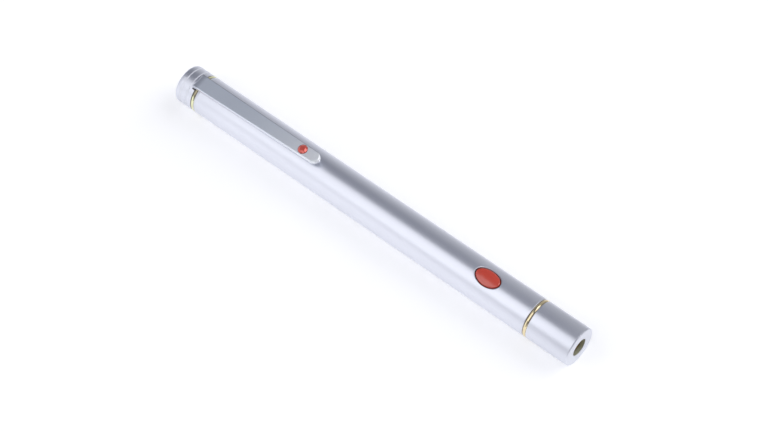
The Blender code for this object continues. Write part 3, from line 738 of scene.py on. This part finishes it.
chip_low, chip_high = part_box("driver_chip")
legs_a_side = 4
leg_reach = 0.45 * mm
pad_places = []
for leg in range(legs_a_side):
    leg_x = chip_low.x + (chip_high.x - chip_low.x) * (leg + 0.5) / legs_a_side
    pad_places.append((leg_x, chip_low.y - leg_reach, board_top))
    pad_places.append((leg_x, chip_high.y + leg_reach, board_top))
for node in resistors:
    part_low, part_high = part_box(node)
    for part_y in (part_low.y - leg_reach / 2, part_high.y + leg_reach / 2):
        pad_places.append(((part_low.x + part_high.x) / 2, part_y, board_top))
pads = bpy.data.meshes.new("solder_drops")
pads.from_pydata(pad_places, [], [])
solder_drops = grown("solder_drops", soldering, {
    "Foot Radius": drop_radius,
    "Height": drop_height,
    "Material": finish("solder_tin", solder_tin),
}, pads)
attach(solder_drops, "barrel")

# Press switch and front contact: a black plunger in a black body under a sheet cover, and
# a plate riveted on the cradle's end wall with the spring that the front cell leans on.
refinish("switch_body", finish("switch_moulding", moulded, colour=(0.035, 0.035, 0.038)))
refinish("switch_cover", nickel)
refinish("switch_plunger", finish("plunger_moulding", moulded, colour=(0.06, 0.06, 0.07)))
refinish("contact_plate", nickel)
wound(
    "contact_spring", "barrel", turns=3.0, wire_radius=0.25 * mm,
    front_radius=2.55 * mm, rear_radius=2.55 * mm,
)

# Barrel: drawn aluminium tube, blasted and sprayed satin silver, with the button's oval hole
# milled through its top. Its outer skin is a net of rings, with loops round the hole.
barrel_sides = 128
patch_columns = 13
patch_rows = 30
patch_loops = 5
patch_margin = 2.0 * mm
patch_power = 0.7
end_run = 1.0 * mm
hole_half_length = 4.4 * mm
hole_half_width = 2.75 * mm
button_low, button_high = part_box("button_cap")
button_x = (button_low.x + button_high.x) / 2


def on_tube(x, angle):
    """A point of the barrel's skin, where an angle of 0 is the top line."""
    across = tube_radius * math.sin(angle)
    return Vector((x, across, axis_level + tube_radius * math.cos(angle)))


def bridge(form, upper, lower):
    """Join two closed loops of points by a ring of faces."""
    for index in range(len(upper)):
        after = (index + 1) % len(upper)
        form.faces.new((upper[index], lower[index], lower[after], upper[after]))


def barrel_skin():
    """The barrel's outer skin, open at both ends and at the button hole."""
    patch_half = hole_half_length + patch_margin
    stations = [barrel_low.x, barrel_low.x + end_run]
    stations += [
        button_x - patch_half + 2 * patch_half * row / patch_rows for row in range(patch_rows + 1)
    ]
    stations += [barrel_high.x - end_run / 4, barrel_high.x]
    step = full_turn / barrel_sides
    form = bmesh.new()
    net = [[form.verts.new(on_tube(x, step * side)) for side in range(barrel_sides)] for x in stations]
    first, last = 2, 2 + patch_rows
    for row in range(len(stations) - 1):
        for side in range(barrel_sides):
            column = (side + patch_columns) % barrel_sides
            if first <= row < last and column < 2 * patch_columns:
                continue
            after = (side + 1) % barrel_sides
            form.faces.new((net[row][side], net[row + 1][side], net[row + 1][after], net[row][after]))

    edge = [(row, -patch_columns) for row in range(first, last)]
    edge += [(last, column) for column in range(-patch_columns, patch_columns)]
    edge += [(row, patch_columns) for row in range(last, first, -1)]
    edge += [(first, column) for column in range(patch_columns, -patch_columns, -1)]
    loop = [net[row][column] for row, column in edge]
    for ring in range(1, patch_loops + 1):
        share = (ring / patch_loops) ** patch_power
        inner = []
        for row, column in edge:
            x, angle = stations[row], step * column
            bearing = math.atan2(column / patch_columns, (x - button_x) / patch_half)
            rim_x = button_x + hole_half_length * math.cos(bearing)
            rim_angle = math.asin(hole_half_width * math.sin(bearing) / tube_radius)
            point = on_tube(x + (rim_x - x) * share, angle + (rim_angle - angle) * share)
            inner.append(form.verts.new(point))
        bridge(form, loop, inner)
        loop = inner
    spare = [corner for corner in form.verts if not corner.link_faces]
    bmesh.ops.delete(form, geom=spare, context="VERTS")
    mesh = poured(form, "barrel_skin")
    mesh.shade_smooth()
    return mesh


def rimmed_silver(place):
    """The same lacquer, with painted shade on the upper half of the milled edge round the button's hole.
    """
    looks = satin_silver(place)
    station, across, level = apart(place)
    along = (front_x - station - button_x) / hole_half_length
    outwards = hypotenuse(along, across / hole_half_width)
    # Painted shade darkens the top of the hole's milled edge and a little of the skin beside it.
    painted_rim_shade = ramp(outwards, 1.04, 1.015) * (level > 0.0)
    looks["Base Color"] = blend(painted_rim_shade, looks["Base Color"], (0.52, 0.53, 0.58))
    looks["Roughness"] = looks["Roughness"] + 0.1 * painted_rim_shade
    return looks


barrel = add_piece("barrel_tube", barrel_skin(), finish("barrel_silver", rimmed_silver))
wall = barrel.modifiers.new("wall", "SOLIDIFY")
wall.thickness = tube_wall
wall.offset = -1.0
wall.use_even_offset = True
bevel = barrel.modifiers.new("ease", "BEVEL")
bevel.width = soft_edge
bevel.segments = 2
bevel.limit_method = "ANGLE"
bevel.angle_limit = math.radians(50)
bevel.harden_normals = True
settled(barrel, math.radians(60))
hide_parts("barrel")
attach(barrel, "barrel")

# Push button: a red moulded cap, oval, with a crown that follows the barrel. A wider flange
# keeps it under the barrel's wall, and a short post on its underside presses the switch.
button_half_length = 4.1 * mm
button_half_width = 2.45 * mm
button_edge = 0.32 * mm
button_proud = button_high.z - axis_level - tube_radius
button_points = 96
crown_shares = (0.12, 0.3, 0.5, 0.7, 0.82, 0.9)
edge_steps = 4
end_fall = 0.12 * mm
flange_reach = 0.6 * mm
flange_thickness = 0.8 * mm
post_radius = 1.2 * mm
post_length = 0.4 * mm
post_low = button_low.z


def crown_level(along, across):
    """The height of the button's crown over the floor, lowest at its ends."""
    follow = math.sqrt((tube_radius + button_proud) ** 2 - across ** 2)
    return axis_level + follow - end_fall * (along / button_half_length) ** 2


def skin(form, loops):
    """Join closed loops of points in turn, and close the first and the last."""
    for upper, lower in zip(loops, loops[1:]):
        bridge(form, upper, lower)
    form.faces.new(loops[0])
    form.faces.new(loops[-1])


def button_mesh():
    """Oval rings from the middle of the crown, over the edge and down to the post."""
    form = bmesh.new()

    def ring(half_length, half_width, height=None, fall=0.0):
        """An oval of points at a height, or else as far below the crown as it falls."""
        points = []
        for index in range(button_points):
            angle = full_turn * index / button_points
            along, across = half_length * math.cos(angle), half_width * math.sin(angle)
            z = crown_level(along, across) + fall if height is None else height
            points.append(form.verts.new((button_x + along, across, z)))
        return points

    length, width = button_half_length, button_half_width
    loops = [ring(length * share, width * share) for share in crown_shares]
    for step in range(edge_steps + 1):
        angle = math.pi / 2 * step / edge_steps
        inset = button_edge * (1 - math.sin(angle))
        loops.append(ring(length - inset, width - inset, fall=button_edge * (math.cos(angle) - 1)))
    flange_low = post_low + post_length
    flange_top = flange_low + flange_thickness
    wide_length, wide_width = length + flange_reach, width + flange_reach
    plain = [
        (length, width, flange_top),
        (wide_length - soft_edge, wide_width - soft_edge, flange_top),
        (wide_length, wide_width, flange_top - soft_edge),
        (wide_length, wide_width, flange_low + soft_edge),
        (wide_length - soft_edge, wide_width - soft_edge, flange_low),
        (post_radius, post_radius, flange_low),
        (post_radius, post_radius, post_low + soft_edge),
        (post_radius - soft_edge, post_radius - soft_edge, post_low),
    ]
    skin(form, loops + [ring(*sizes) for sizes in plain])
    return poured(form, "button")


def red_moulding(place):
    """Glossy red plastic with a faint moulded grain and darker flow marks."""
    flow = noise(place, (160.0, 900.0, 400.0))
    grain = noise(place, 3800.0)
    return {
        "Base Color": blend(flow, (0.59, 0.034, 0.006), (0.67, 0.047, 0.010)),
        "Roughness": 0.30 + 0.08 * grain,
        "Normal": relief(grain, 0.0015 * mm),
        "IOR": 1.8,
        "Coat Weight": 1.0,
        "Coat Roughness": 0.21,
        "Subsurface Weight": 0.08,
        "Subsurface Scale": 0.3 * mm,
    }


button = add_piece("push_button", button_mesh(), finish("red_moulding", red_moulding))
settled(button, math.radians(50))
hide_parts("button_cap")
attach(button, "button")

# Cells: two AAA cells nose to tail. Each is a drawn steel can under a shrunk film, rolled
# in near its terminal, with a pressed nickel terminal let into its end.
cell_edge = 0.45 * mm
cell_base_radius = 3.9 * mm
cell_base_height = 0.25 * mm
cell_crimp_set = 1.9 * mm
cell_crimp_width = 0.7 * mm
cell_crimp_depth = 0.3 * mm
cell_well_radius = 3.5 * mm
cell_well_depth = 0.4 * mm
band_length = 10.8 * mm
band_edge = 0.12 * mm


def cell_film(place, end):
    """A dark printed film with a copper band at its terminal end, and bare steel ends."""
    station, radius = round_the_axis(place)
    wrinkle = noise(place, (200.0, 1600.0, 1600.0), detail=3.0)
    band = ramp(station, end - band_length, end - band_length + band_edge)
    dark_film = blend(wrinkle, (0.018, 0.020, 0.026), (0.028, 0.030, 0.038))
    film = blend(band, dark_film, (0.50, 0.24, 0.09))
    steel = 1.0 - ramp(radius, cell_base_radius, cell_base_radius + soft_edge)
    return {
        "Base Color": blend(steel, film, (0.62, 0.61, 0.58)),
        "Metallic": steel.maths("MAXIMUM", band * 0.7),
        "Roughness": 0.22 + 0.10 * wrinkle,
        "Normal": relief(wrinkle, 0.01 * mm),
    }


for node in ("front_cell", "rear_cell"):
    start, end, wide = extent(*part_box(node))
    shoulder = start + cell_base_height
    crimp = end - cell_crimp_set - cell_crimp_width / 2
    jacket = finish(node + "_film", cell_film, end=end)
    cell = turned(node + "_can", [
        (start, 0.0),
        (start, cell_base_radius, soft_edge),
        (shoulder, cell_base_radius),
        (shoulder, wide, cell_edge),
        (crimp - cell_crimp_width / 2, wide, cell_crimp_width / 4),
        (crimp, wide - cell_crimp_depth, cell_crimp_width / 4),
        (crimp + cell_crimp_width / 2, wide, cell_crimp_width / 4),
        (end, wide, cell_edge),
        (end, cell_well_radius, soft_edge),
        (end - cell_well_depth, cell_well_radius),
        (end - cell_well_depth, 0.0),
    ], jacket)
    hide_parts(node)
    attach(cell, "barrel")
    refinish(node + "_terminal", nickel)

# Tail bush: a brass sleeve pressed into the tail cap. Its front end carries the right-hand
# thread that screws into the barrel, with a run-out groove behind it.
bush_start, bush_end, bush_radius = extent(*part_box("tail_bush"))
bush_bore = 4.45 * mm
thread_pitch = 1.0 * mm
thread_depth = 0.4 * mm
thread_crest = 0.35 * mm
thread_flank = 0.2 * mm
thread_runout = 0.45 * mm
thread_end = front_x - barrel_low.x - thread_runout
thread_rings_a_pitch = 20
clip_sheet = 0.6 * mm
clip_root_width = 4.95 * mm
root_setback = 0.2 * mm
notch_play = 0.2 * mm
notch_depth = 1.6 * mm
cap_low, cap_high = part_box("tail_cap")

threading, thread = new_tree("threading", {
    "Crest Radius": "Float", "Depth": "Float", "Pitch": "Float",
    "Crest": "Float", "Flank": "Float", "Start": "Float", "End": "Float",
})
spot = thread["Geometry"].node("GeometryNodeInputPosition", {}, {})
station, across, level = apart(spot)
radius = hypotenuse(across, level)
lap = level.maths("ARCTAN2", across) / full_turn
phase = ((front_x - station) / thread["Pitch"] - lap).maths("FRACT")
from_crest = (phase - 0.5).maths("ABSOLUTE") * thread["Pitch"]
flank = (thread["Crest"] * 0.5 + thread["Flank"] - from_crest) / thread["Flank"]
tooth = flank.maths("MAXIMUM", 0.0).maths("MINIMUM", 1.0)
lead_in = ((station - thread["Start"]) / thread["Pitch"]).maths("MINIMUM", 1.0)
cut_radius = thread["Crest Radius"] - thread["Depth"] * (1.0 - tooth * lead_in)
scaling = cut_radius / radius
outer = radius > (thread["Crest Radius"] - 0.5 * thread["Depth"])
threaded = thread["Geometry"].node("GeometryNodeSetPosition", {}, {
    "Geometry": thread["Geometry"],
    "Selection": outer * (station < thread["End"]),
    "Position": scaling.node("ShaderNodeCombineXYZ", {}, {
        "X": front_x - station, "Y": across * scaling, "Z": axis_level + level * scaling,
    }),
})
end_tree(threading, threaded, thread["Material"])

bush_corners = []
thread_rings = round(thread_rings_a_pitch * (thread_end - bush_start) / thread_pitch)
for step in range(thread_rings + 1):
    bush_corners.append((bush_start + (thread_end - bush_start) * step / thread_rings, bush_radius))
bush_corners += [
    (thread_end, bush_radius - thread_depth),
    (thread_end + thread_runout, bush_radius - thread_depth),
    (thread_end + thread_runout, bush_radius, soft_edge),
    (bush_end, bush_radius, soft_edge),
    (bush_end, bush_bore, soft_edge),
    (bush_start, bush_bore, soft_edge),
]
blank = turned("tail_bush_blank", bush_corners, brass)
bush = grown("threaded_bush", threading, {
    "Crest Radius": bush_radius,
    "Depth": thread_depth,
    "Pitch": thread_pitch,
    "Crest": thread_crest,
    "Flank": thread_flank,
    "Start": bush_start,
    "End": thread_end - soft_edge,
    "Material": brass,
}, blank.data)
bpy.data.objects.remove(blank)


def notch_tool():
    """The block that cuts room for the clip's root in the bush and in the tail cap."""
    rear_x = cap_high.x - root_setback - clip_sheet - notch_play
    half = clip_root_width / 2 + notch_play
    low = Vector((rear_x, -half, axis_level + tube_radius - notch_depth))
    return block("notch", low, Vector((cap_high.x + soft_edge, half, axis_level + 2 * tube_radius)))


shape(bush, notch_tool())
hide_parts("tail_bush")
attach(bush, "tail_cap")

# Tail cap: a closed cup turned and sprayed like the nose cap, with two fine grooves round
# it and a notch cut in its mouth for the clip's root. It screws off to change the cells.
cap_start = front_x - cap_high.x
cap_end = front_x - cap_low.x
cap_floor = cap_end - 0.9 * mm
cap_corner = 0.9 * mm
cap_bore = tube_radius - tube_wall
groove_half = 0.16 * mm
cap_groove_depth = 0.03 * mm
cap_grooves = (cap_start + 1.9 * mm, cap_end - 2.25 * mm)


def cut_silver(place):
    """The same lacquer, left thin and rough where it runs into the grooves."""
    looks = satin_silver(place)
    station = apart(place)[0]
    middles = [(station - groove).maths("ABSOLUTE") for groove in cap_grooves]
    cut = ramp(middles[0].maths("MINIMUM", middles[1]), groove_half, 0.7 * groove_half)
    looks["Base Color"] = blend(cut, looks["Base Color"], (0.90, 0.91, 0.96))
    looks["Roughness"] = looks["Roughness"] + 0.45 * cut
    looks["Metallic"] = 1.0 - 0.8 * cut
    return looks


cap_corners = [
    (cap_floor, 0.0),
    (cap_floor, cap_bore),
    (cap_start, cap_bore, soft_edge),
    (cap_start, tube_radius, soft_edge),
]
for groove in cap_grooves:
    cap_corners += [
        (groove - groove_half, tube_radius, groove_half / 4),
        (groove, tube_radius - cap_groove_depth, groove_half / 4),
        (groove + groove_half, tube_radius, groove_half / 4),
    ]
cap_corners += [(cap_end, tube_radius, cap_corner), (cap_end, 0.0)]
cap = turned("tail_cup", cap_corners, finish("cap_silver", cut_silver))
shape(cap, notch_tool())
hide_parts("tail_cap")
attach(cap, "tail_cap")

# Tail contact and spring: a brass disc in the bottom of the tail cap, with a boss that
# holds the wide end of a tapered spring. The spring presses both cells to the front.
refinish("tail_contact", brass)
wound(
    "tail_spring", "tail_spring", turns=6.0, wire_radius=0.3 * mm,
    front_radius=1.35 * mm, rear_radius=3.4 * mm,
)

# Pocket clip: pressed from sheet as a shallow tapered channel, satin finished. Its root is
# bent down into the cap's notch, and a dimple under its pointed tip holds it off the barrel.
clip_joint = next(joint for joint in frame["joints"] if joint["name"] == "clip_flex")
clip_reach = 49.5 * mm
clip_tip_width = 3.7 * mm
clip_root_rise = 1.5 * mm
clip_tip_rise = 2.9 * mm
clip_skirt_gap = 0.15 * mm
clip_tab_fall = 1.4 * mm
clip_point = 1.9 * mm
side_bend = 0.25 * mm
tip_bend = 0.65 * mm
root_bend = 1.2 * mm
corner_round = 0.45 * mm
root_steps = 6
side_steps = 8
point_steps = 24
point_power = 1.6
bend_steps = 6
clip_tilt = math.atan2(clip_tip_rise - clip_root_rise, clip_reach)
clip_rear = -clip_sheet / 2
clip_tip = clip_rear + clip_reach
clip_hinge = Matrix.Translation(clip_joint["pos_m"])
clip_frame = clip_hinge @ Matrix.Rotation(-clip_tilt, 4, "Y")


def clip_outline():
    """The clip from above: (along, across, bend radius, how far its wall reaches down)."""
    shoulder = clip_tip - clip_point
    root_half, tip_half = clip_root_width / 2, clip_tip_width / 2
    half = []
    for step in range(root_steps + 1):
        across = (root_half - corner_round) * step / root_steps
        half.append((clip_rear, across, root_bend, -clip_tab_fall))
    for step in range(1, root_steps + 1):
        angle = math.pi / 2 * step / root_steps
        along = clip_rear + corner_round * (1 - math.cos(angle))
        across = root_half - corner_round * (1 - math.sin(angle))
        bend = root_bend + (side_bend - root_bend) * step / root_steps
        half.append((along, across, bend, -clip_tab_fall))
    tab_end = clip_rear + clip_sheet
    half.append((tab_end, root_half, side_bend, -clip_tab_fall))
    half.append((tab_end + soft_edge / 2, root_half, side_bend, clip_skirt_gap))
    for step in range(1, side_steps + 1):
        share = step / side_steps
        along = tab_end + (shoulder - tab_end) * share
        half.append((along, root_half + (tip_half - root_half) * share, side_bend, clip_skirt_gap))
    for step in range(1, point_steps + 1):
        share = math.cos(math.pi / 2 * step / point_steps)
        forward = (1 - share ** point_power) ** (1 / point_power)
        bend = tip_bend + (side_bend - tip_bend) * share
        half.append((shoulder + clip_point * forward, tip_half * share, bend, clip_skirt_gap))
    mirrored = [(along, -across, bend, low) for along, across, bend, low in half[-2:0:-1]]
    return half + mirrored


def on_clip(form, name):
    """A mesh of a form that is drawn along the clip, with its hinge at the origin."""
    mesh = poured(form, name)
    mesh.transform(clip_frame)
    return mesh


def clip_mesh():
    """Loops of the outline from the flat face over the bend, down the wall and up inside."""
    outline_points = clip_outline()
    inward = []
    for index in range(len(outline_points)):
        before = Vector(outline_points[index - 1][:2])
        after = Vector(outline_points[(index + 1) % len(outline_points)][:2])
        run = (after - before).normalized()
        inward.append(Vector((run.y, -run.x)))
    top = clip_root_rise
    lip = soft_edge / 2
    form = bmesh.new()

    def loop(inset, level):
        """A loop drawn in by an inset, where both are worked out at each point."""
        points = []
        for (along, across, bend, low), draw in zip(outline_points, inward):
            place = Vector((along, across)) + draw * inset(bend)
            half = clip_root_width / 2 - inset(bend)
            kept_along = max(place.x, clip_rear + inset(bend))
            kept_across = max(-half, min(half, place.y))
            points.append(form.verts.new((kept_along, kept_across, level(bend, low))))
        return points

    loops = [loop(lambda bend: bend + soft_edge, lambda bend, low: top)]
    for step in range(bend_steps + 1):
        lean = math.pi / 2 * step / bend_steps
        loops.append(loop(
            lambda bend: bend * (1 - math.sin(lean)),
            lambda bend, low: top - bend * (1 - math.cos(lean)),
        ))
    loops += [
        loop(lambda bend: 0.0, lambda bend, low: low + lip),
        loop(lambda bend: lip, lambda bend, low: low),
        loop(lambda bend: clip_sheet - lip, lambda bend, low: low),
        loop(lambda bend: clip_sheet, lambda bend, low: low + lip),
        loop(lambda bend: clip_sheet, lambda bend, low: top - clip_sheet),
    ]
    skin(form, loops)
    bmesh.ops.remove_doubles(form, verts=form.verts, dist=weld)
    return on_clip(form, "clip")


def brushed_silver(place):
    """Sheet steel brushed along its length, then satin plated. Its colour holds painted light and
    shade: lighter towards the tip, side walls from dark at the root to nearly white at the tip,
    and painted shade on the root bend, the side bends and, darkest, the bend along its left side."""
    strokes = noise(place, (60.0, 9000.0, 9000.0))
    cloud = noise(place, 140.0)
    station, across = apart(place)[:2]
    share = (cap_start + root_setback - station) / clip_reach
    # Painted light: the plating is coloured lighter towards the tip.
    painted_tip_light = share * share * share
    plating = blend(painted_tip_light, (0.82, 0.87, 0.945), (0.97, 0.985, 1.0))
    half = clip_root_width / 2 - share * ((clip_root_width - clip_tip_width) / 2)
    from_wall = across.maths("ABSOLUTE") - half
    # Painted light and shade: the side walls are coloured dark at the root and nearly white at the tip.
    wall = blend(share, (0.70, 0.69, 0.73), (0.98, 0.98, 1.0))
    plating = blend(ramp(from_wall, -0.2 * side_bend, 0.0), plating, wall)
    # Painted shade: the root bend and the side bends are coloured darker.
    painted_side_bend_shade = ramp(from_wall, -side_bend, -0.6 * side_bend) * ramp(from_wall, 0.0, -0.4 * side_bend)
    bent = ramp(share, 0.045, 0.01).maths("MAXIMUM", 0.35 * painted_side_bend_shade)
    toned = blend(bent * (0.8 + 0.2 * cloud), plating, (0.52, 0.545, 0.61))
    # Painted shade: a darker line along the bend on the left side.
    grimy = ramp(from_wall, -0.85 * side_bend, -0.6 * side_bend) * ramp(from_wall, 0.0, -0.1 * side_bend)
    return {
        "Base Color": blend(0.9 * grimy * (across > 0.0), toned, (0.33, 0.34, 0.39)),
        "Metallic": 1.0,
        "Roughness": 0.37 + 0.05 * strokes + 0.04 * cloud + 0.12 * painted_tip_light,
        "Normal": relief(strokes, 0.0015 * mm),
    }


clip = add_piece("pocket_clip", clip_mesh(), finish("brushed_silver", brushed_silver))
settled(clip)


def upright(name, along, foot, head, foot_radius, head_radius):
    """A round tool that stands on the clip, between two levels over its hinge."""
    form = bmesh.new()
    bmesh.ops.create_cone(
        form, cap_ends=True, segments=64, radius1=foot_radius, radius2=head_radius,
        depth=head - foot,
    )
    bmesh.ops.translate(form, vec=(along, 0.0, (head + foot) / 2), verts=form.verts)
    return add_piece(name, on_clip(form, name))


dimple_along = clip_tip - 3.4 * mm
dimple_foot = 0.3 * mm - dimple_along * math.tan(clip_tilt)
dimple_root = clip_root_rise - clip_sheet / 2
dimple = upright(
    "dimple", dimple_along, dimple_foot, dimple_root, foot_radius=0.5 * mm, head_radius=0.9 * mm
)
shape(clip, dimple, "UNION")
stone_along = clip_tip - 6.4 * mm
stone_recess = 0.3 * mm
stone_radius = 1.48 * mm
well_radius = stone_radius + 0.12 * mm
well_foot = clip_root_rise - stone_recess
well = upright("well", stone_along, well_foot, clip_root_rise + overrun, well_radius, well_radius)
shape(clip, well)
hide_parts("clip")
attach(clip, "clip")

# Stone: a round red glass stone, faceted and polished, cemented in a shallow well in the
# clip. Its girdle stands just proud of the sheet.
stone_table = 0.57 * mm
stone_foot = 0.2 * mm
girdle_level = 0.1 * mm
stone_rings = (
    (16, stone_radius, -stone_foot, 0.5),
    (16, stone_radius, girdle_level, 0.5),
    (8, 0.80 * stone_radius, 0.64 * stone_table, 0.5),
    (8, 0.54 * stone_radius, stone_table, 0.0),
)


def stone_mesh():
    """The hull of rings (corners, radius, level, turn), which gives it flat facets."""
    form = bmesh.new()
    for corners, radius, level, offset in stone_rings:
        for index in range(corners):
            angle = full_turn * (index + offset) / corners
            along = stone_along + radius * math.cos(angle)
            form.verts.new((along, radius * math.sin(angle), clip_root_rise + level))
    bmesh.ops.convex_hull(form, input=form.verts)
    return on_clip(form, "stone")


def red_glass(place):
    """Red glass with foil behind it: clear gloss over a slightly uneven red."""
    depth = noise(place, 1500.0)
    return {
        "Base Color": blend(depth, (0.66, 0.075, 0.055), (0.80, 0.14, 0.10)),
        "Roughness": 0.08 + 0.06 * depth,
        "Metallic": 0.35,
        "Coat Weight": 1.0,
        "Coat Roughness": 0.03,
    }


stone = add_piece("faceted_stone", stone_mesh(), finish("red_glass", red_glass))
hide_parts("clip_stone")
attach(stone, "clip")

# Studio: a pale floor under three soft lamps, in a darker room with a pale window beyond the
# tail. The room gives the lacquer its dark band, and a grey card along the far side of the
# pen, which only its gloss shows, pales the edge of that band.
floor_half = 3.0
floor_glow = 0.36
card_across = 20 * mm
card_height = 24 * mm
card_half = 0.16
card_fade = 110 * mm
room_heights = (0.08, 0.38)
window_far_edge = (0.23, 0.12)
window_nose_edge = (-0.6, -0.9)


def flat_sheet(name, material, corners):
    """One flat face through its corners."""
    mesh = bpy.data.meshes.new(name)
    mesh.from_pydata(corners, [], [range(len(corners))])
    return add_piece(name, mesh, material)


def pale_floor(place):
    """A white sweep, lit a little from below for the camera and in reflections."""
    rays = ("Is Camera Ray", "Is Glossy Ray", "Is Transmission Ray")
    camera_ray, glossy_ray, through_ray = (
        place.node("ShaderNodeLightPath", {}, {}, output=ray) for ray in rays
    )
    seen = camera_ray.maths("MAXIMUM", glossy_ray).maths("MAXIMUM", through_ray)
    return {
        "Base Color": (0.86, 0.86, 0.87, 1.0),
        "Roughness": 0.9,
        "Emission Color": blend(seen, (0.0, 0.0, 0.0), (floor_glow, floor_glow, floor_glow)),
        "Emission Strength": 1.0,
    }


floor = flat_sheet("floor", finish("pale_floor", pale_floor), [
    (-floor_half, -floor_half, 0.0),
    (floor_half, -floor_half, 0.0),
    (floor_half, floor_half, 0.0),
    (-floor_half, floor_half, 0.0),
])


def grey_card(place):
    """A card that shows only in the pen's gloss, paler towards its foot."""
    station, level = apart(place)[::2]
    climb = ramp(level + axis_level, 0.0, card_height)
    at_nose = blend(climb, (0.55, 0.56, 0.59), (0.33, 0.34, 0.37))
    at_tail = blend(climb, (0.75, 0.76, 0.80), (0.30, 0.31, 0.34))
    return {
        "Base Color": (0.0, 0.0, 0.0, 1.0),
        "Specular IOR Level": 0.0,
        "Emission Color": blend(ramp(station, 0.0, card_fade), at_nose, at_tail),
        "Emission Strength": 1.0,
    }


card = flat_sheet("edge_card", finish("grey_card", grey_card), [
    (-card_half, card_across, 0.0),
    (card_half, card_across, 0.0),
    (card_half, card_across, card_height),
    (-card_half, card_across, card_height),
])
card.visible_camera = False
card.visible_diffuse = False
card.visible_transmission = False
card.visible_shadow = False

world = bpy.data.worlds.new("studio")
bpy.context.scene.world = world
world.use_nodes = True
direction = Wire(world.node_tree.nodes.new("ShaderNodeTexCoord").outputs["Generated"])
noseward, farther, height = numbers(direction)
room = blend(ramp(height, *room_heights), (0.45, 0.46, 0.50), (0.21, 0.22, 0.26))
window = ramp(noseward, *window_nose_edge) * ramp(farther, *window_far_edge)
room = blend(window, room, (0.78, 0.79, 0.84))
fill(world.node_tree.nodes["Background"], {"Color": room})


def soft_lamp(name, place, aim, width, height, level):
    """A rectangular soft lamp, of a brightness that a white card would have at that level."""
    lamp = bpy.data.lights.new(name, "AREA")
    lamp.shape = "RECTANGLE"
    lamp.size = width
    lamp.size_y = height
    lamp.energy = level * math.pi * width * height
    holder = add_piece(name, lamp)
    holder.location = place
    holder.rotation_euler = (Vector(place) - Vector(aim)).to_track_quat("Z", "Y").to_euler()
    holder.visible_camera = False


pen_middle = (0.0, 0.0, axis_level)
soft_lamp("overhead", (-0.12, -0.46, 0.95), pen_middle, width=1.3, height=1.03, level=1.02)
soft_lamp("front_fill", (-0.44, -0.55, 0.22), (-0.44, 0.0, 0.0), width=0.74, height=0.47, level=0.69)
soft_lamp("key", (0.70, 0.85, 0.80), pen_middle, width=1.2, height=1.35, level=2.0)

# Camera: a long lens at the photograph's angle, from over the nose and the right side of
# the pen, aimed near its middle and rolled until the pen lies as it does there.
camera = add_piece("camera", bpy.data.cameras.new("camera"))
camera.data.lens = 103.95
camera.data.sensor_width = 36.0
camera.data.clip_start = 0.01
camera_azimuth = math.radians(53.932)
camera_elevation = math.radians(61.857)
camera_roll = math.radians(-16.324)
camera_distance = 652.0 * mm
camera_aim = Vector((3.52 * mm, -0.206 * mm, axis_level))
toward = Vector((
    math.sin(camera_azimuth) * math.cos(camera_elevation),
    -math.cos(camera_azimuth) * math.cos(camera_elevation),
    math.sin(camera_elevation),
))
camera.rotation_mode = "QUATERNION"
camera.rotation_quaternion = (
    toward.to_track_quat("Z", "Y").to_matrix() @ Matrix.Rotation(camera_roll, 3, "Z")
).to_quaternion()
camera.location = camera_aim + toward * camera_distance
bpy.context.scene.camera = camera
bpy.context.scene.view_settings.view_transform = "Standard"
